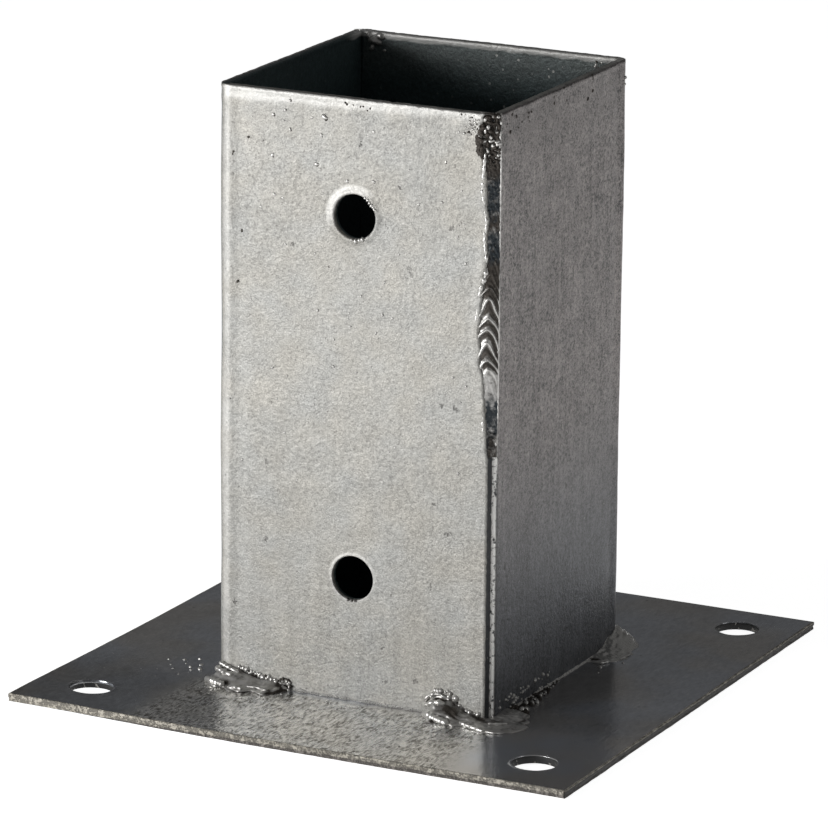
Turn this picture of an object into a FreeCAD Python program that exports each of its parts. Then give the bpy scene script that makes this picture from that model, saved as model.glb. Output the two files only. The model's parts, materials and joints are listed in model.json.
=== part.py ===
"""Timber post base: a folded sheet-steel sleeve for a square post, welded to a bolt-down plate.

The sleeve is two equal angles, folded from sheet and stood round the post space.
Each angle has one bend, and the second is the first turned half round.
At the two corners without a bend the legs meet inner corner to inner corner,
which leaves a square groove down the outside. A rippled bead fills the top part
of each groove. Four fillet beads round the corners join the sleeve to the plate.

Frame: millimetres, +Z up, origin at the middle of the plate's underside.
The sides are called front (-Y), right (+X), back (+Y) and left (-X).
"""
import FreeCAD
import Part
import math
import os
import Sketcher
from FreeCAD import Rotation, Vector

doc = FreeCAD.newDocument("PostBase")

# ---------------------------------------------------------------- driving sizes
SIZES = [
    ("plate_length", 150.0),            # plate along X
    ("plate_width", 150.0),             # plate along Y
    ("plate_thickness", 2.0),
    ("plate_hole_diameter", 11.0),      # clears an M10 anchor
    ("plate_hole_pitch_x", 120.0),
    ("plate_hole_pitch_y", 120.0),
    ("post_width", 71.0),               # inside of the sleeve along X, for a 70 mm post
    ("post_depth", 71.0),               # inside of the sleeve along Y
    ("sheet_thickness", 2.0),
    ("sleeve_height", 150.0),           # above the plate
    ("bend_inner_radius", 1.5),
    ("bolt_hole_diameter", 11.0),       # clears an M10 bolt through the post
    ("bolt_hole_height", 31.0),         # lower hole, above the plate
    ("bolt_hole_pitch", 90.0),          # from the lower hole up to the upper hole
    ("edge_round", 0.3),                # zinc rounds the sheared edges
    ("seam_length", 84.0),              # groove bead, down from the sleeve's rim
    ("seam_lap", 2.6),                  # widest reach of the bead over its leg's face
    ("seam_setback", 0.25),             # bead edge short of the other leg's corner
    ("seam_toe_angle", 12.0),           # least angle between a groove bead and its leg's face
    ("seam_tilt", 0.8),                 # rise of a ripple's crown for each mm outwards
    ("crater_radius", 1.3),             # hollow where a groove bead ends
    ("bead_end_run", 2.5),              # a bead grows to full size over this run at its ends
    ("ripple_pitch", 3.4),
    ("ripple_height", 0.35),
    ("foot_leg", 7.0),                  # fillet bead, reach over the plate
    ("foot_height", 3.0),               # fillet bead, reach up the sleeve
    ("foot_bulge", 0.5),                # fillet bead, middle of its face above flat
    ("foot_blob", 2.6),                 # extra height where a fillet bead was struck
    ("foot_long_run", 17.0),            # fillet bead, along its longer side
    ("foot_short_run", 5.0),            # fillet bead, past a bend
    ("foot_open_run", 12.0),            # fillet bead, past a corner without a bend
]

sheet = doc.addObject("Spreadsheet::Sheet", "sizes")
for row, (alias, value) in enumerate(SIZES, start=1):
    sheet.set("A%d" % row, alias)
    sheet.set("B%d" % row, "%g" % value)
    sheet.setAlias("B%d" % row, alias)
doc.recompute()


def size(alias):
    """A driving size, read from the sheet."""
    return float(sheet.get(alias))


# ---------------------------------------------------------------- small helpers
def new_body(name):
    body = doc.addObject("PartDesign::Body", name)
    body.Label = name
    return body


def origin_plane(body, role):
    """One of the body's own three origin planes, found by its role."""
    return next(plane for plane in body.Origin.OriginFeatures if plane.Role == role)


def new_sketch(body, name, role):
    sketch = body.newObject("Sketcher::SketchObject", name)
    sketch.AttachmentSupport = (origin_plane(body, role), [""])
    sketch.MapMode = "FlatFace"
    return sketch


def draw_square_cornered(sketch, corners):
    """A closed outline of lines that run along the sketch's axes only."""
    count = len(corners)
    for index in range(count):
        start = Vector(*corners[index], 0)
        end = Vector(*corners[(index + 1) % count], 0)
        sketch.addGeometry(Part.LineSegment(start, end), False)
        level = abs(start.y - end.y) < abs(start.x - end.x)
        sketch.addConstraint(Sketcher.Constraint("Horizontal" if level else "Vertical", index))
    for index in range(count):
        following = (index + 1) % count
        sketch.addConstraint(Sketcher.Constraint("Coincident", index, 2, following, 1))


def hold(sketch, kind, line, point, value, formula):
    """Fix one coordinate of a line's end from the sketch origin, bound to a formula."""
    number = sketch.addConstraint(Sketcher.Constraint(kind, -1, 1, line, point, value))
    sketch.setExpression("Constraints[%d]" % number, formula)


def draw_hole(sketch, across, up, diameter, across_formula, up_formula, diameter_alias):
    """A circle whose middle and diameter are bound to formulas."""
    circle = sketch.addGeometry(Part.Circle(Vector(across, up, 0), Vector(0, 0, 1), diameter / 2))
    number = sketch.addConstraint(Sketcher.Constraint("Diameter", circle, diameter))
    sketch.setExpression("Constraints[%d]" % number, "sizes." + diameter_alias)
    if across_formula is None:
        sketch.addConstraint(Sketcher.Constraint("PointOnObject", circle, 3, -2))
    else:
        hold(sketch, "DistanceX", circle, 3, across, across_formula)
    hold(sketch, "DistanceY", circle, 3, up, up_formula)


def pad(body, sketch, name, alias):
    feature = body.newObject("PartDesign::Pad", name)
    feature.Profile = sketch
    feature.setExpression("Length", "sizes." + alias)
    doc.recompute()
    return feature


def fillet(body, base, name, edges, formula):
    feature = body.newObject("PartDesign::Fillet", name)
    feature.Base = (base, edges)
    feature.setExpression("Radius", formula)
    doc.recompute()
    return feature


def edges_where(feature, test):
    """Names of the feature's edges whose two ends and middle all pass the test."""
    names = []
    for number, edge in enumerate(feature.Shape.Edges, start=1):
        middle = edge.valueAt((edge.FirstParameter + edge.LastParameter) / 2)
        points = [vertex.Point for vertex in edge.Vertexes] + [middle]
        if all(test(point) for point in points):
            names.append("Edge%d" % number)
    return names


def must_cut(before, after, what):
    """A cut that takes nothing away is a fault that shows no error by itself."""
    if after.Shape.Volume > before.Shape.Volume - 1.0:
        raise RuntimeError(what + " removed nothing")


# ---------------------------------------------------------------- base plate
def build_plate():
    """Flat square plate with an anchor hole near each corner."""
    body = new_body("base_plate")
    half_x = size("plate_length") / 2
    half_y = size("plate_width") / 2

    outline = new_sketch(body, "plate_outline", "XY_Plane")
    draw_square_cornered(outline, [(-half_x, -half_y), (half_x, -half_y),
                                   (half_x, half_y), (-half_x, half_y)])
    hold(outline, "DistanceX", 0, 1, -half_x, "-sizes.plate_length / 2")
    hold(outline, "DistanceX", 0, 2, half_x, "sizes.plate_length / 2")
    hold(outline, "DistanceY", 1, 1, -half_y, "-sizes.plate_width / 2")
    hold(outline, "DistanceY", 1, 2, half_y, "sizes.plate_width / 2")
    plate = pad(body, outline, "plate_sheet", "plate_thickness")

    top = size("plate_thickness")
    rim = edges_where(plate, lambda point: abs(point.z - top) < 1e-6)
    rounded = fillet(body, plate, "plate_rim_round", rim, "sizes.edge_round")

    anchors = new_sketch(body, "anchor_holes", "XY_Plane")
    for side_x in (-1, 1):
        for side_y in (-1, 1):
            draw_hole(anchors, side_x * size("plate_hole_pitch_x") / 2,
                      side_y * size("plate_hole_pitch_y") / 2, size("plate_hole_diameter"),
                      "%d * sizes.plate_hole_pitch_x / 2" % side_x,
                      "%d * sizes.plate_hole_pitch_y / 2" % side_y, "plate_hole_diameter")
    punched = body.newObject("PartDesign::Pocket", "punched_anchor_holes")
    punched.Profile = anchors
    punched.Type = "ThroughAll"
    punched.Midplane = True
    doc.recompute()
    must_cut(rounded, punched, "the anchor hole cut")
    return body


# ---------------------------------------------------------------- folded angles
OUTER_X = "(sizes.post_width / 2 + sizes.sheet_thickness)"
OUTER_Y = "(sizes.post_depth / 2 + sizes.sheet_thickness)"


def build_angle(name, turn):
    """Folded angle: a front leg with two bolt holes, a bend and a plain left leg.

    Each leg stops one sheet short of the sleeve's far outside face, so that the
    other angle's leg can end there. The turn about Z puts it on its own side.
    """
    body = new_body(name)
    gauge = size("sheet_thickness")
    outer_x = size("post_width") / 2 + gauge
    outer_y = size("post_depth") / 2 + gauge
    inner_x = outer_x - gauge
    inner_y = outer_y - gauge

    profile = new_sketch(body, name + "_profile", "XY_Plane")
    profile.setExpression("AttachmentOffset.Base.z", "sizes.plate_thickness")
    draw_square_cornered(profile, [(-outer_x, -outer_y), (inner_x, -outer_y),
                                   (inner_x, -inner_y), (-inner_x, -inner_y),
                                   (-inner_x, inner_y), (-outer_x, inner_y)])
    hold(profile, "DistanceX", 0, 1, -outer_x, "-" + OUTER_X)
    hold(profile, "DistanceY", 0, 1, -outer_y, "-" + OUTER_Y)
    hold(profile, "DistanceX", 1, 1, inner_x, "sizes.post_width / 2")
    hold(profile, "DistanceY", 1, 2, -inner_y, "-sizes.post_depth / 2")
    hold(profile, "DistanceX", 3, 1, -inner_x, "-sizes.post_width / 2")
    hold(profile, "DistanceY", 3, 2, inner_y, "sizes.post_depth / 2")
    legs = pad(body, profile, name + "_legs", "sleeve_height")

    def upright(x, y):
        return lambda point: abs(point.x - x) < 1e-6 and abs(point.y - y) < 1e-6

    outside = edges_where(legs, upright(-outer_x, -outer_y))
    bent = fillet(body, legs, name + "_bend_outside", outside,
                  "sizes.bend_inner_radius + sizes.sheet_thickness")
    inside = edges_where(bent, upright(-inner_x, -inner_y))
    bent = fillet(body, bent, name + "_bend_inside", inside, "sizes.bend_inner_radius")

    rim_height = size("plate_thickness") + size("sleeve_height")
    rim = edges_where(bent, lambda point: abs(point.z - rim_height) < 1e-6)
    rounded = fillet(body, bent, name + "_rim_round", rim, "sizes.edge_round")

    bolts = new_sketch(body, name + "_bolt_holes", "XZ_Plane")
    lower = "sizes.plate_thickness + sizes.bolt_hole_height"
    low = size("plate_thickness") + size("bolt_hole_height")
    draw_hole(bolts, 0, low, size("bolt_hole_diameter"), None, lower, "bolt_hole_diameter")
    draw_hole(bolts, 0, low + size("bolt_hole_pitch"), size("bolt_hole_diameter"), None,
              lower + " + sizes.bolt_hole_pitch", "bolt_hole_diameter")
    drilled = body.newObject("PartDesign::Pocket", name + "_punched_bolt_holes")
    drilled.Profile = bolts
    drilled.Type = "ThroughAll"
    drilled.Reversed = True
    doc.recompute()
    must_cut(rounded, drilled, "the bolt hole cut")
    body.Placement.Rotation = Rotation(Vector(0, 0, 1), turn)
    doc.recompute()
    return body


# ---------------------------------------------------------------- weld beads
RIPPLE_CREST = 0.7      # where a ripple is highest, as a share of its pitch
BEAD_CHORDS = 5         # flats across a bead's face
CROWN_RISE = 30.0       # degrees by which a groove bead stands steeper where it is wide
RIPPLE_RISE = 8.0       # degrees by which it stands steeper on a ripple's ridge


def bead_stations(length, ripples_from, ripples_to):
    """Distances along a bead for its sections, each with the crest there.

    The crest is 0 in a hollow and on a smooth stretch and 1 on a ripple's ridge. The
    rippled stretch is given as shares of the length. Each ripple has two sections, so
    that it climbs slowly and drops off fast, and a smooth stretch has few.
    """
    end_run = size("bead_end_run")
    stations = [(0.0, 0.0), (end_run * 0.3, 0.0), (end_run, 0.0)]
    start = max(ripples_from * length, end_run)
    stop = min(ripples_to * length, length - end_run)
    stations += smooth_stations(end_run, start)
    count = max(1, round((stop - start) / size("ripple_pitch")))
    step = (stop - start) / count
    for index in range(count):
        ridge = start + (index + RIPPLE_CREST) * step
        stations += [(ridge, 1.0), (start + (index + 1) * step, 0.0)]
    stations += smooth_stations(stop, length - end_run)
    stations += [(length - end_run * 0.3, 0.0), (length, 0.0)]
    return stations


def smooth_stations(start, stop):
    """Evenly spaced distances after start, up to and with stop, on a stretch with no ripples."""
    if stop - start < 1e-6:
        return []
    count = max(1, round((stop - start) / (2 * size("ripple_pitch"))))
    return [(start + (index + 1) * (stop - start) / count, 0.0) for index in range(count)]


def end_scale(distance, length):
    """A bead's size near its ends: rounded off like the rim of a drop."""
    end_run = size("bead_end_run")
    inward = min(distance, length - distance, end_run) / end_run
    return max(0.25, math.sqrt(1 - (1 - inward) ** 2))


def swell(position, middle, spread):
    """A smooth hump of height 1 at the middle."""
    return math.exp(-((position - middle) / spread) ** 2)


def bead_wire(corners, toe_from, crown, toe_to):
    """Closed section: chords of an arc over the crown from toe to toe, then the corners."""
    face = Part.Arc(toe_from, crown, toe_to).discretize(BEAD_CHORDS + 1)
    return Part.makePolygon(face + corners + [toe_from])


def build_seam(name, turn, phase):
    """Rippled bead in the open groove between two leg ends, from the rim down.

    Its sections lean outwards and up, so that each ripple shows as an arch. It is
    wide where the welder wove over the leg's face and narrow where it sank into the
    groove. It ends in a round crater.
    """
    length = size("seam_length")
    root_x = size("post_width") / 2
    root_y = -size("post_depth") / 2
    face_y = root_y - size("sheet_thickness")
    edge_x = root_x + size("sheet_thickness") - size("seam_setback")
    rim_height = size("plate_thickness") + size("sleeve_height")
    narrow = 0.2 * size("seam_lap")
    lean_run = 2.4 * size("bead_end_run")

    def lift(point, distance):
        """Lean a section: its outer points stand higher than its root."""
        lean = size("seam_tilt") * min(1.0, distance / lean_run, (length - distance) / lean_run)
        reach = (point.x - root_x - point.y + root_y) / math.sqrt(2)
        return Vector(point.x, point.y, rim_height - distance + lean * reach)

    def arch(distance, crest):
        """The bead's free surface at one height: toe, crown, toe, and the way outwards."""
        share = distance / length
        wide = swell(share, 0.62 + phase, 0.16) + 0.8 * swell(share, 0.05, 0.07)
        wide += 0.3 * swell(share, 0.96, 0.03)
        lap = narrow + (size("seam_lap") - narrow) * wide + size("ripple_height") * crest * wide
        lap *= end_scale(distance, length) if distance > length / 2 else 1.0
        toe_from = Vector(root_x - lap, face_y, 0)
        toe_to = Vector(edge_x, root_y, 0)
        chord = toe_to - toe_from
        outward = Vector(chord.y, -chord.x, 0).normalize()
        rise = size("seam_toe_angle") + (CROWN_RISE * wide + RIPPLE_RISE * crest)
        half_arc = math.atan2(chord.y, chord.x) + math.radians(rise)
        crown = (toe_from + toe_to) / 2 + outward * chord.Length / 2 * math.tan(half_arc / 2)
        return toe_from, crown, toe_to, outward

    def section(distance, crest):
        toe_from, crown, toe_to, _ = arch(distance, crest)
        inside = [Vector(root_x, root_y, 0), Vector(root_x, face_y, 0)]
        return bead_wire([lift(point, distance) for point in inside],
                         *[lift(point, distance) for point in (toe_from, crown, toe_to)])

    stations = bead_stations(length, 0.42 + phase, 0.86 + phase)
    bead = Part.makeLoft([section(*station) for station in stations], True, True)
    radius = size("crater_radius")
    crater_at = length - 1.5 * radius
    _, crown, _, outward = arch(crater_at, 0.0)
    crater = Part.makeSphere(radius, lift(crown, crater_at) + outward * 0.4 * radius)
    hollowed = bead.cut(crater)
    if hollowed.Volume > bead.Volume - 0.1:
        raise RuntimeError("the crater missed the bead")
    return weld_feature(name, hollowed, turn)


def build_foot(name, quarter_turns, corner_radius, depth, before, after, strike, grown):
    """Fillet bead at the sleeve's foot, along one side, round a corner and on.

    strike is the share of the bead's length where it was struck, which stands higher.
    The bead's inner side runs inside the sheet by depth and is then cut by the angles,
    so it seats on faces and bends alike.
    """
    outer_x = size("post_width") / 2 + size("sheet_thickness")
    outer_y = size("post_depth") / 2 + size("sheet_thickness")
    turn = Rotation(Vector(0, 0, 1), 90 * quarter_turns)
    first_out = turn.multVec(Vector(-1, 0, 0))
    second_out = turn.multVec(Vector(0, -1, 0))
    sign = first_out + second_out
    middle = Vector(round(sign.x) * (outer_x - corner_radius),
                    round(sign.y) * (outer_y - corner_radius), size("plate_thickness"))
    round_length = corner_radius * math.pi / 2
    length = before + round_length + after

    def place(distance):
        """The point on the sleeve's outside and the outward direction there."""
        along = distance - before
        if along < 0:
            return middle + first_out * corner_radius + second_out * along, first_out, 0.0
        if along < round_length:
            angle = along / corner_radius
            out = first_out * math.cos(angle) + second_out * math.sin(angle)
            return middle + out * corner_radius, out, math.sin(2 * angle)
        beyond = along - round_length
        return middle + second_out * corner_radius - first_out * beyond, second_out, 0.0

    def section(distance, crest):
        point, out, cornering = place(distance)
        scale = end_scale(distance, length)
        share = distance / length
        uneven = 0.12 * math.sin(2.1 * distance + quarter_turns) * scale
        leg = (size("foot_leg") + 0.5 * size("ripple_height") * crest) * scale + uneven
        leg += grown * cornering
        height = size("foot_height") + 0.6 * size("ripple_height") * crest
        height = (height + size("foot_blob") * swell(share, strike, 0.14)) * scale
        up = Vector(0, 0, 1)
        toe_from = point + out * leg
        toe_to = point + up * height + out * grown * cornering
        bulge = (size("foot_bulge") + 0.6 * size("ripple_height") * crest) * scale
        away = (out * height + up * leg).normalize()
        crown = (toe_from + toe_to) / 2 + away * bulge
        inner = point - out * depth
        return bead_wire([inner + up * height, inner], toe_from, crown, toe_to)

    stations = bead_stations(length, strike - 0.25, strike + 0.25)
    rough = Part.makeLoft([section(*station) for station in stations], True, True)
    bead = rough
    for angle in angles:
        bead = bead.cut(angle.Shape)
    solids = sorted(bead.Solids, key=lambda solid: solid.Volume)
    return weld_feature(name, solids[-1], 0)


def weld_feature(name, shape, turn):
    """Keep a bead as its own object, turned about Z to its corner."""
    feature = doc.addObject("Part::Feature", name)
    feature.Label = name
    feature.Shape = shape
    feature.Placement.Rotation = Rotation(Vector(0, 0, 1), turn)
    return feature


# ---------------------------------------------------------------- the post base
plate = build_plate()
angles = [build_angle("front_left_angle", 0), build_angle("back_right_angle", 180)]
seams = [build_seam("seam_weld_front_right", 0, 0.0),
         build_seam("seam_weld_back_left", 180, -0.08)]

bend_radius = size("bend_inner_radius") + size("sheet_thickness")
into_bend = 0.5 * size("sheet_thickness")
square_radius = 1.1 * size("sheet_thickness")       # path round a corner without a bend
into_groove = 0.8 * size("sheet_thickness")
square_growth = (math.sqrt(2) - 1) * square_radius  # such a corner stands out this far
long_run = size("foot_long_run")
short_run = size("foot_short_run")
open_run = size("foot_open_run")
feet = [
    build_foot("foot_weld_front_left", 0, bend_radius, into_bend, short_run, long_run, 0.3, 0.0),
    build_foot("foot_weld_front_right", 1, square_radius, into_groove, long_run, open_run,
               0.1, square_growth),
    build_foot("foot_weld_back_right", 2, bend_radius, into_bend, long_run, short_run, 0.7, 0.0),
    build_foot("foot_weld_back_left", 3, square_radius, into_groove, long_run, open_run,
               0.1, square_growth),
]
pieces = [plate] + angles + seams + feet
doc.recompute()

# ---------------------------------------------------------------- checks and files
for item in doc.Objects:
    if "Invalid" in item.State or "Error" in item.State:
        raise RuntimeError("%s did not recompute: %s" % (item.Label, item.State))
for piece in pieces:
    shape = piece.Shape
    if shape.isNull() or not shape.isValid() or len(shape.Solids) != 1:
        raise RuntimeError("%s is not one valid solid" % piece.Label)

os.makedirs("parts", exist_ok=True)
for piece in pieces:
    piece.Shape.exportStep(os.path.join("parts", piece.Label + ".step"))
    print("%-24s %10.1f mm3" % (piece.Label, piece.Shape.Volume))
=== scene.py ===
"""Timber post base: the finish of a welded and galvanised part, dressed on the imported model.

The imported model's frame has +Z up, its origin in the middle of the plate's underside,
the front wall towards -Y and the right wall towards +X. Surfaces are worked out in
millimetres and become metres when a mesh is made; the settings and the stage are in metres.
"""

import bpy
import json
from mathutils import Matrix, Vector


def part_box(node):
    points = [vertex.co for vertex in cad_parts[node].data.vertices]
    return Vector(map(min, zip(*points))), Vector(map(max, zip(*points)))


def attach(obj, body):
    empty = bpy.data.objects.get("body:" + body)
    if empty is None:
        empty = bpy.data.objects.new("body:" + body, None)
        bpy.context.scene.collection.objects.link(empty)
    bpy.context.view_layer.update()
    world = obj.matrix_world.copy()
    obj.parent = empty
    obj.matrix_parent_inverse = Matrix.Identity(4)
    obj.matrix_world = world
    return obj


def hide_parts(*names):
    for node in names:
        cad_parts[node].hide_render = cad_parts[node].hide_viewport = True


bl_info = {
    "name": "Galvanised Post Base",
    "version": (1, 0, 0),
    "blender": (4, 5, 0),
    "location": "View3D > Sidebar > Post Base",
    "description": "Dresses a welded timber post base with zinc, weld beads and drops",
    "category": "Object",
}
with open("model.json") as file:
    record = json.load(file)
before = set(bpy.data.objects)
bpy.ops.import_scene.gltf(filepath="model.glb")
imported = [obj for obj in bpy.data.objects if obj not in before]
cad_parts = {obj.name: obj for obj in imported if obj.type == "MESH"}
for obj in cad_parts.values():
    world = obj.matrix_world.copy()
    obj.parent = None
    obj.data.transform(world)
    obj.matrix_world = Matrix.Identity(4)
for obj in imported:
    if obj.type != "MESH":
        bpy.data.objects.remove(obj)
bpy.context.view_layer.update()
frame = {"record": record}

import json
import math

import bmesh
import bpy
import numpy as np
from bpy.props import FloatProperty, FloatVectorProperty, IntProperty, PointerProperty
from mathutils import Matrix, Vector

MM = 0.001
MOUNTS = {mount["name"]: mount for mount in frame["record"]["mounts"]}
CLOSE = 1e-6                                                # nearer than this is the same place
# The part's sizes, in millimetres.
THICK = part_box("base_plate")[1].z / MM                      # the plate
PLATE_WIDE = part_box("base_plate")[1].x / MM
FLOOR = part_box("back_right_angle")[0].z / MM                # where the sleeve stands
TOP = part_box("back_right_angle")[1].z / MM
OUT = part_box("back_right_angle")[1].x / MM                  # the sleeve's outside
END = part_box("front_left_angle")[1].x / MM                  # where the front wall is cut
GAUGE = OUT - END                                           # the sheet's thickness
BEND = 3.5                                                  # outside of the bends
LEG = END + OUT - BEND                                      # from a cut end to the bend
ARC = BEND * math.pi / 2                                    # round the outside of a bend
DEVELOPED = 2 * LEG + ARC                                   # the angle's outside, unrolled
SEAM_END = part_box("seam_weld_front_right")[0].z / MM
BOLT_RADIUS = MOUNTS["upper_bolt_bore"]["dims"]["r_mm"]
UPPER_HOLE = MOUNTS["upper_bolt_bore"]["pos_m"][2] / MM
LOWER_HOLE = MOUNTS["lower_bolt_bore"]["pos_m"][2] / MM
ANCHOR_RADIUS = MOUNTS["anchor_holes"]["dims"]["hole_r_mm"]
ANCHOR_PITCH = MOUNTS["anchor_holes"]["dims"]["spacing_x_mm"]

# How far each seam bead reaches over the wall beside it, by height.
FRONT_TOE = [(SEAM_END - 1, 0.0), (SEAM_END + 2, 0.5), (74, 0.7), (80, 1.2), (87, 1.6), (91, 2.9),
             (100, 3.2), (106, 2.5), (111, 2.0), (116, 0.8), (119.5, 1.0), (123, 1.0), (126, 0.4),
             (129, 1.1), (136, 1.4), (140, 2.4), (144, 3.3), (149, 3.0), (TOP, 2.2)]
BACK_TOE = [(SEAM_END - 1, 0.0), (SEAM_END + 2, 0.5), (76, 1.3), (100, 1.9), (130, 1.6),
            (144, 2.1), (TOP, 1.6)]
# How far the wall's cut end has melted back under it.
FRONT_MELT, BACK_MELT = ([(height, 0.8 * reach) for height, reach in toe]
                         for toe in (FRONT_TOE, BACK_TOE))

# Ways that a drop can face.
FRONT, RIGHT, UP = (0, -1, 0), (1, 0, 0), (0, 0, 1)
# How stained, tarnished and shiny weld metal is: a rolled lip, a thin one, a dull one, a dark drop;
# the dark drop's tone also makes painted shadows under pimples.
LIP, THIN, DULL, STAIN_AND_SHADOW = (-0.3, -0.2, 1.2), (-0.2, 0, 0.8), (0, 0, 0.7), (1, 0, 0)

# Colours without a setting: what fills pits, specks and cut edges, painted shade, painted glints
# and the dark grains of a painted reflection.
BLACK = (0.0, 0.0, 0.0)
DEEP_INSIDE_SHADE = (0.16, 0.22, 0.23)
TOP_EDGE = (0.05, 0.052, 0.054)
CUT_CORNER = (0.04, 0.042, 0.045)
SEAM_SHADE = (0.03, 0.03, 0.032)
PIT = (0.045, 0.042, 0.038)
PAINTED_GLINT = (0.85, 0.84, 0.8)
DARK_REFLECTION_GRAIN = (0.13, 0.12, 0.1)
PLATE_FLECK = (0.75, 0.74, 0.7)
PLATE_SPOT = (0.03, 0.028, 0.026)
RIGHT_EDGE_SHADE = (0.05, 0.048, 0.045)
EDGE_CRUMB = (0.05, 0.045, 0.04)
BORE_SHADE = (0.02, 0.02, 0.02)
BORE_GLINT = (0.6, 0.58, 0.54)
WELD_FLECK = (0.6, 0.58, 0.52)


# ------------------------------------------------------------------ shader maths
class Value:
    """A node's output that takes part in arithmetic: an expression adds its Math nodes."""

    def __init__(self, shader, socket):
        self.shader = shader
        self.socket = socket

    def math(self, operation, *others, clamp=False):
        """A Math node of this value and the others."""
        return self.shader.value("ShaderNodeMath", {"operation": operation, "use_clamp": clamp},
                                 dict(enumerate((self,) + others)))

    def __add__(self, other):
        return self.math("ADD", other)

    __radd__ = __add__

    def __mul__(self, other):
        return self.math("MULTIPLY", other)

    __rmul__ = __mul__

    def __sub__(self, other):
        return self.math("SUBTRACT", other)

    def __rsub__(self, other):
        return self.math("MULTIPLY_ADD", -1.0, other)

    def __truediv__(self, other):
        return self.math("DIVIDE", other)

    def __pow__(self, other):
        return self.math("POWER", other)

    def __neg__(self):
        return self.math("MULTIPLY", -1.0)

    def size(self):
        """The absolute value."""
        return self.math("ABSOLUTE")

    def smooth(self, low, high):
        """0 at low, 1 at high and a smooth step between; high may be the lower one."""
        return self.shader.value("ShaderNodeMapRange", {"interpolation_type": "SMOOTHSTEP"},
                                 {0: self, 1: low, 2: high, 3: 0.0, 4: 1.0})

    def sway(self, weight):
        """A noise's distance from its middle, times a weight."""
        return (self - 0.5) * weight

    def times(self, other):
        """The product, held between 0 and 1."""
        return self.math("MULTIPLY", other, clamp=True)


class Shader:
    """One material under construction."""

    def __init__(self, name):
        self.material = bpy.data.materials.new(name)
        self.material.use_nodes = True
        self.tree = self.material.node_tree
        self.tree.nodes.clear()

    def node(self, kind, settings=None, values=None):
        """Any node, by its type, its settings and the values or links of its sockets."""
        node = self.tree.nodes.new(kind)
        for name, setting in (settings or {}).items():
            setattr(node, name, setting)
        for name, value in (values or {}).items():
            if isinstance(value, Value):
                self.tree.links.new(value.socket, node.inputs[name])
            else:
                node.inputs[name].default_value = value
        return node

    def value(self, kind, settings=None, values=None, output=0):
        """A new node's output, ready for arithmetic."""
        return Value(self, self.node(kind, settings, values).outputs[output])

    def place(self):
        """The Object coordinate in millimetres, as a vector and its three parts."""
        metres = self.value("ShaderNodeTexCoord", output="Object")
        vector = self.value("ShaderNodeVectorMath", {"operation": "SCALE"},
                            {0: metres, "Scale": 1 / MM})
        parts = self.node("ShaderNodeSeparateXYZ", {}, {0: vector})
        return vector, [Value(self, output) for output in parts.outputs]

    def stretch(self, vector, scale):
        """The vector times a scale by axis: a pattern is longer where the scale is small."""
        return self.value("ShaderNodeMapping", {}, {"Vector": vector, "Scale": scale})

    def noise(self, vector, grain, detail=2.0, roughness=0.5, distortion=0.0):
        """Noise from 0 to 1 whose features are about grain millimetres across."""
        return self.value("ShaderNodeTexNoise", {},
                          {"Vector": vector, "Scale": 1 / grain, "Detail": detail,
                           "Roughness": roughness, "Distortion": distortion})

    def cells(self, vector, grain):
        """Distance to the nearest of scattered points, about grain millimetres apart."""
        return self.value("ShaderNodeTexVoronoi", {"feature": "F1"},
                          {"Vector": vector, "Scale": 1 / grain, "Randomness": 1.0}, "Distance")

    def mix(self, factor, first, second):
        """Colours blended by a factor."""
        def four(colour):
            return colour if isinstance(colour, Value) else (*colour[:3], 1.0)
        return self.value("ShaderNodeMix", {"data_type": "RGBA"},
                          {0: factor, 6: four(first), 7: four(second)}, 2)

    def over(self, colour, amount, paint):
        """The colour under a paint, whose amount is held between 0 and 1."""
        return self.mix(amount.times(1.0), colour, paint)

    def bump(self, height):
        """The normal of a relief whose height is in millimetres."""
        return self.value("ShaderNodeBump", {},
                          {"Height": height, "Strength": 1.0, "Distance": MM})

    def finish(self, **sockets):
        """Ends the material in a Principled shader with these sockets set or linked."""
        values = {name.replace("_", " "): value for name, value in sockets.items()}
        self.end(self.value("ShaderNodeBsdfPrincipled", {}, values))
        return self.material

    def end(self, surface):
        """Links a surface to the material's output."""
        self.node("ShaderNodeOutputMaterial", {}, {"Surface": surface})


# ------------------------------------------------------------------ surface tools
def ease(x, stops):
    """A curve through rising (x, y) stops: each gap is the smooth step 3t^2 - 2t^3."""
    places, levels = np.array(stops, float).T
    gap = np.clip(np.searchsorted(places, x, side="right") - 1, 0, len(places) - 2)
    t = np.clip((x - places[gap]) / (places[gap + 1] - places[gap]), 0, 1)
    return levels[gap] + (levels[gap + 1] - levels[gap]) * t * t * (3 - 2 * t)


def bell(x, middle, width):
    """A bell curve, e^(-((x - middle) / width)^2)."""
    return np.exp(-((x - middle) / width) ** 2)


def field(points, grain, seed, waves=20):
    """A smooth random field, mostly between -1 and 1.

    It is the sum of cosine waves in seeded directions, each about grain long, over
    the root of their number.
    """
    rng = np.random.default_rng(seed)
    heading = rng.normal(size=(waves, points.shape[-1]))
    heading /= np.linalg.norm(heading, axis=1, keepdims=True)
    heading *= 2 * np.pi / (grain * rng.uniform(0.7, 1.6, (waves, 1)))
    waves_there = np.cos(points @ heading.T + rng.uniform(0, 2 * np.pi, waves))
    return waves_there.sum(-1) / np.sqrt(2 * waves)


def spread(*stops, step):
    """Grid lines through the given stops, about one step apart."""
    parts = [np.linspace(a, b, max(1, round(abs(b - a) / step)) + 1)[:-1]
             for a, b in zip(stops, stops[1:])]
    return np.concatenate(parts + [stops[-1:]])


def around(across, up):
    """The border of a rectangle of grid lines, once round and closed."""
    s = np.concatenate([across[:-1], np.full(len(up) - 1, across[-1]), across[:0:-1],
                        np.full(len(up), across[0])])
    z = np.concatenate([np.full(len(across) - 1, up[0]), up[:-1],
                        np.full(len(across) - 1, up[-1]), up[::-1]])
    return s, z


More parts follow.
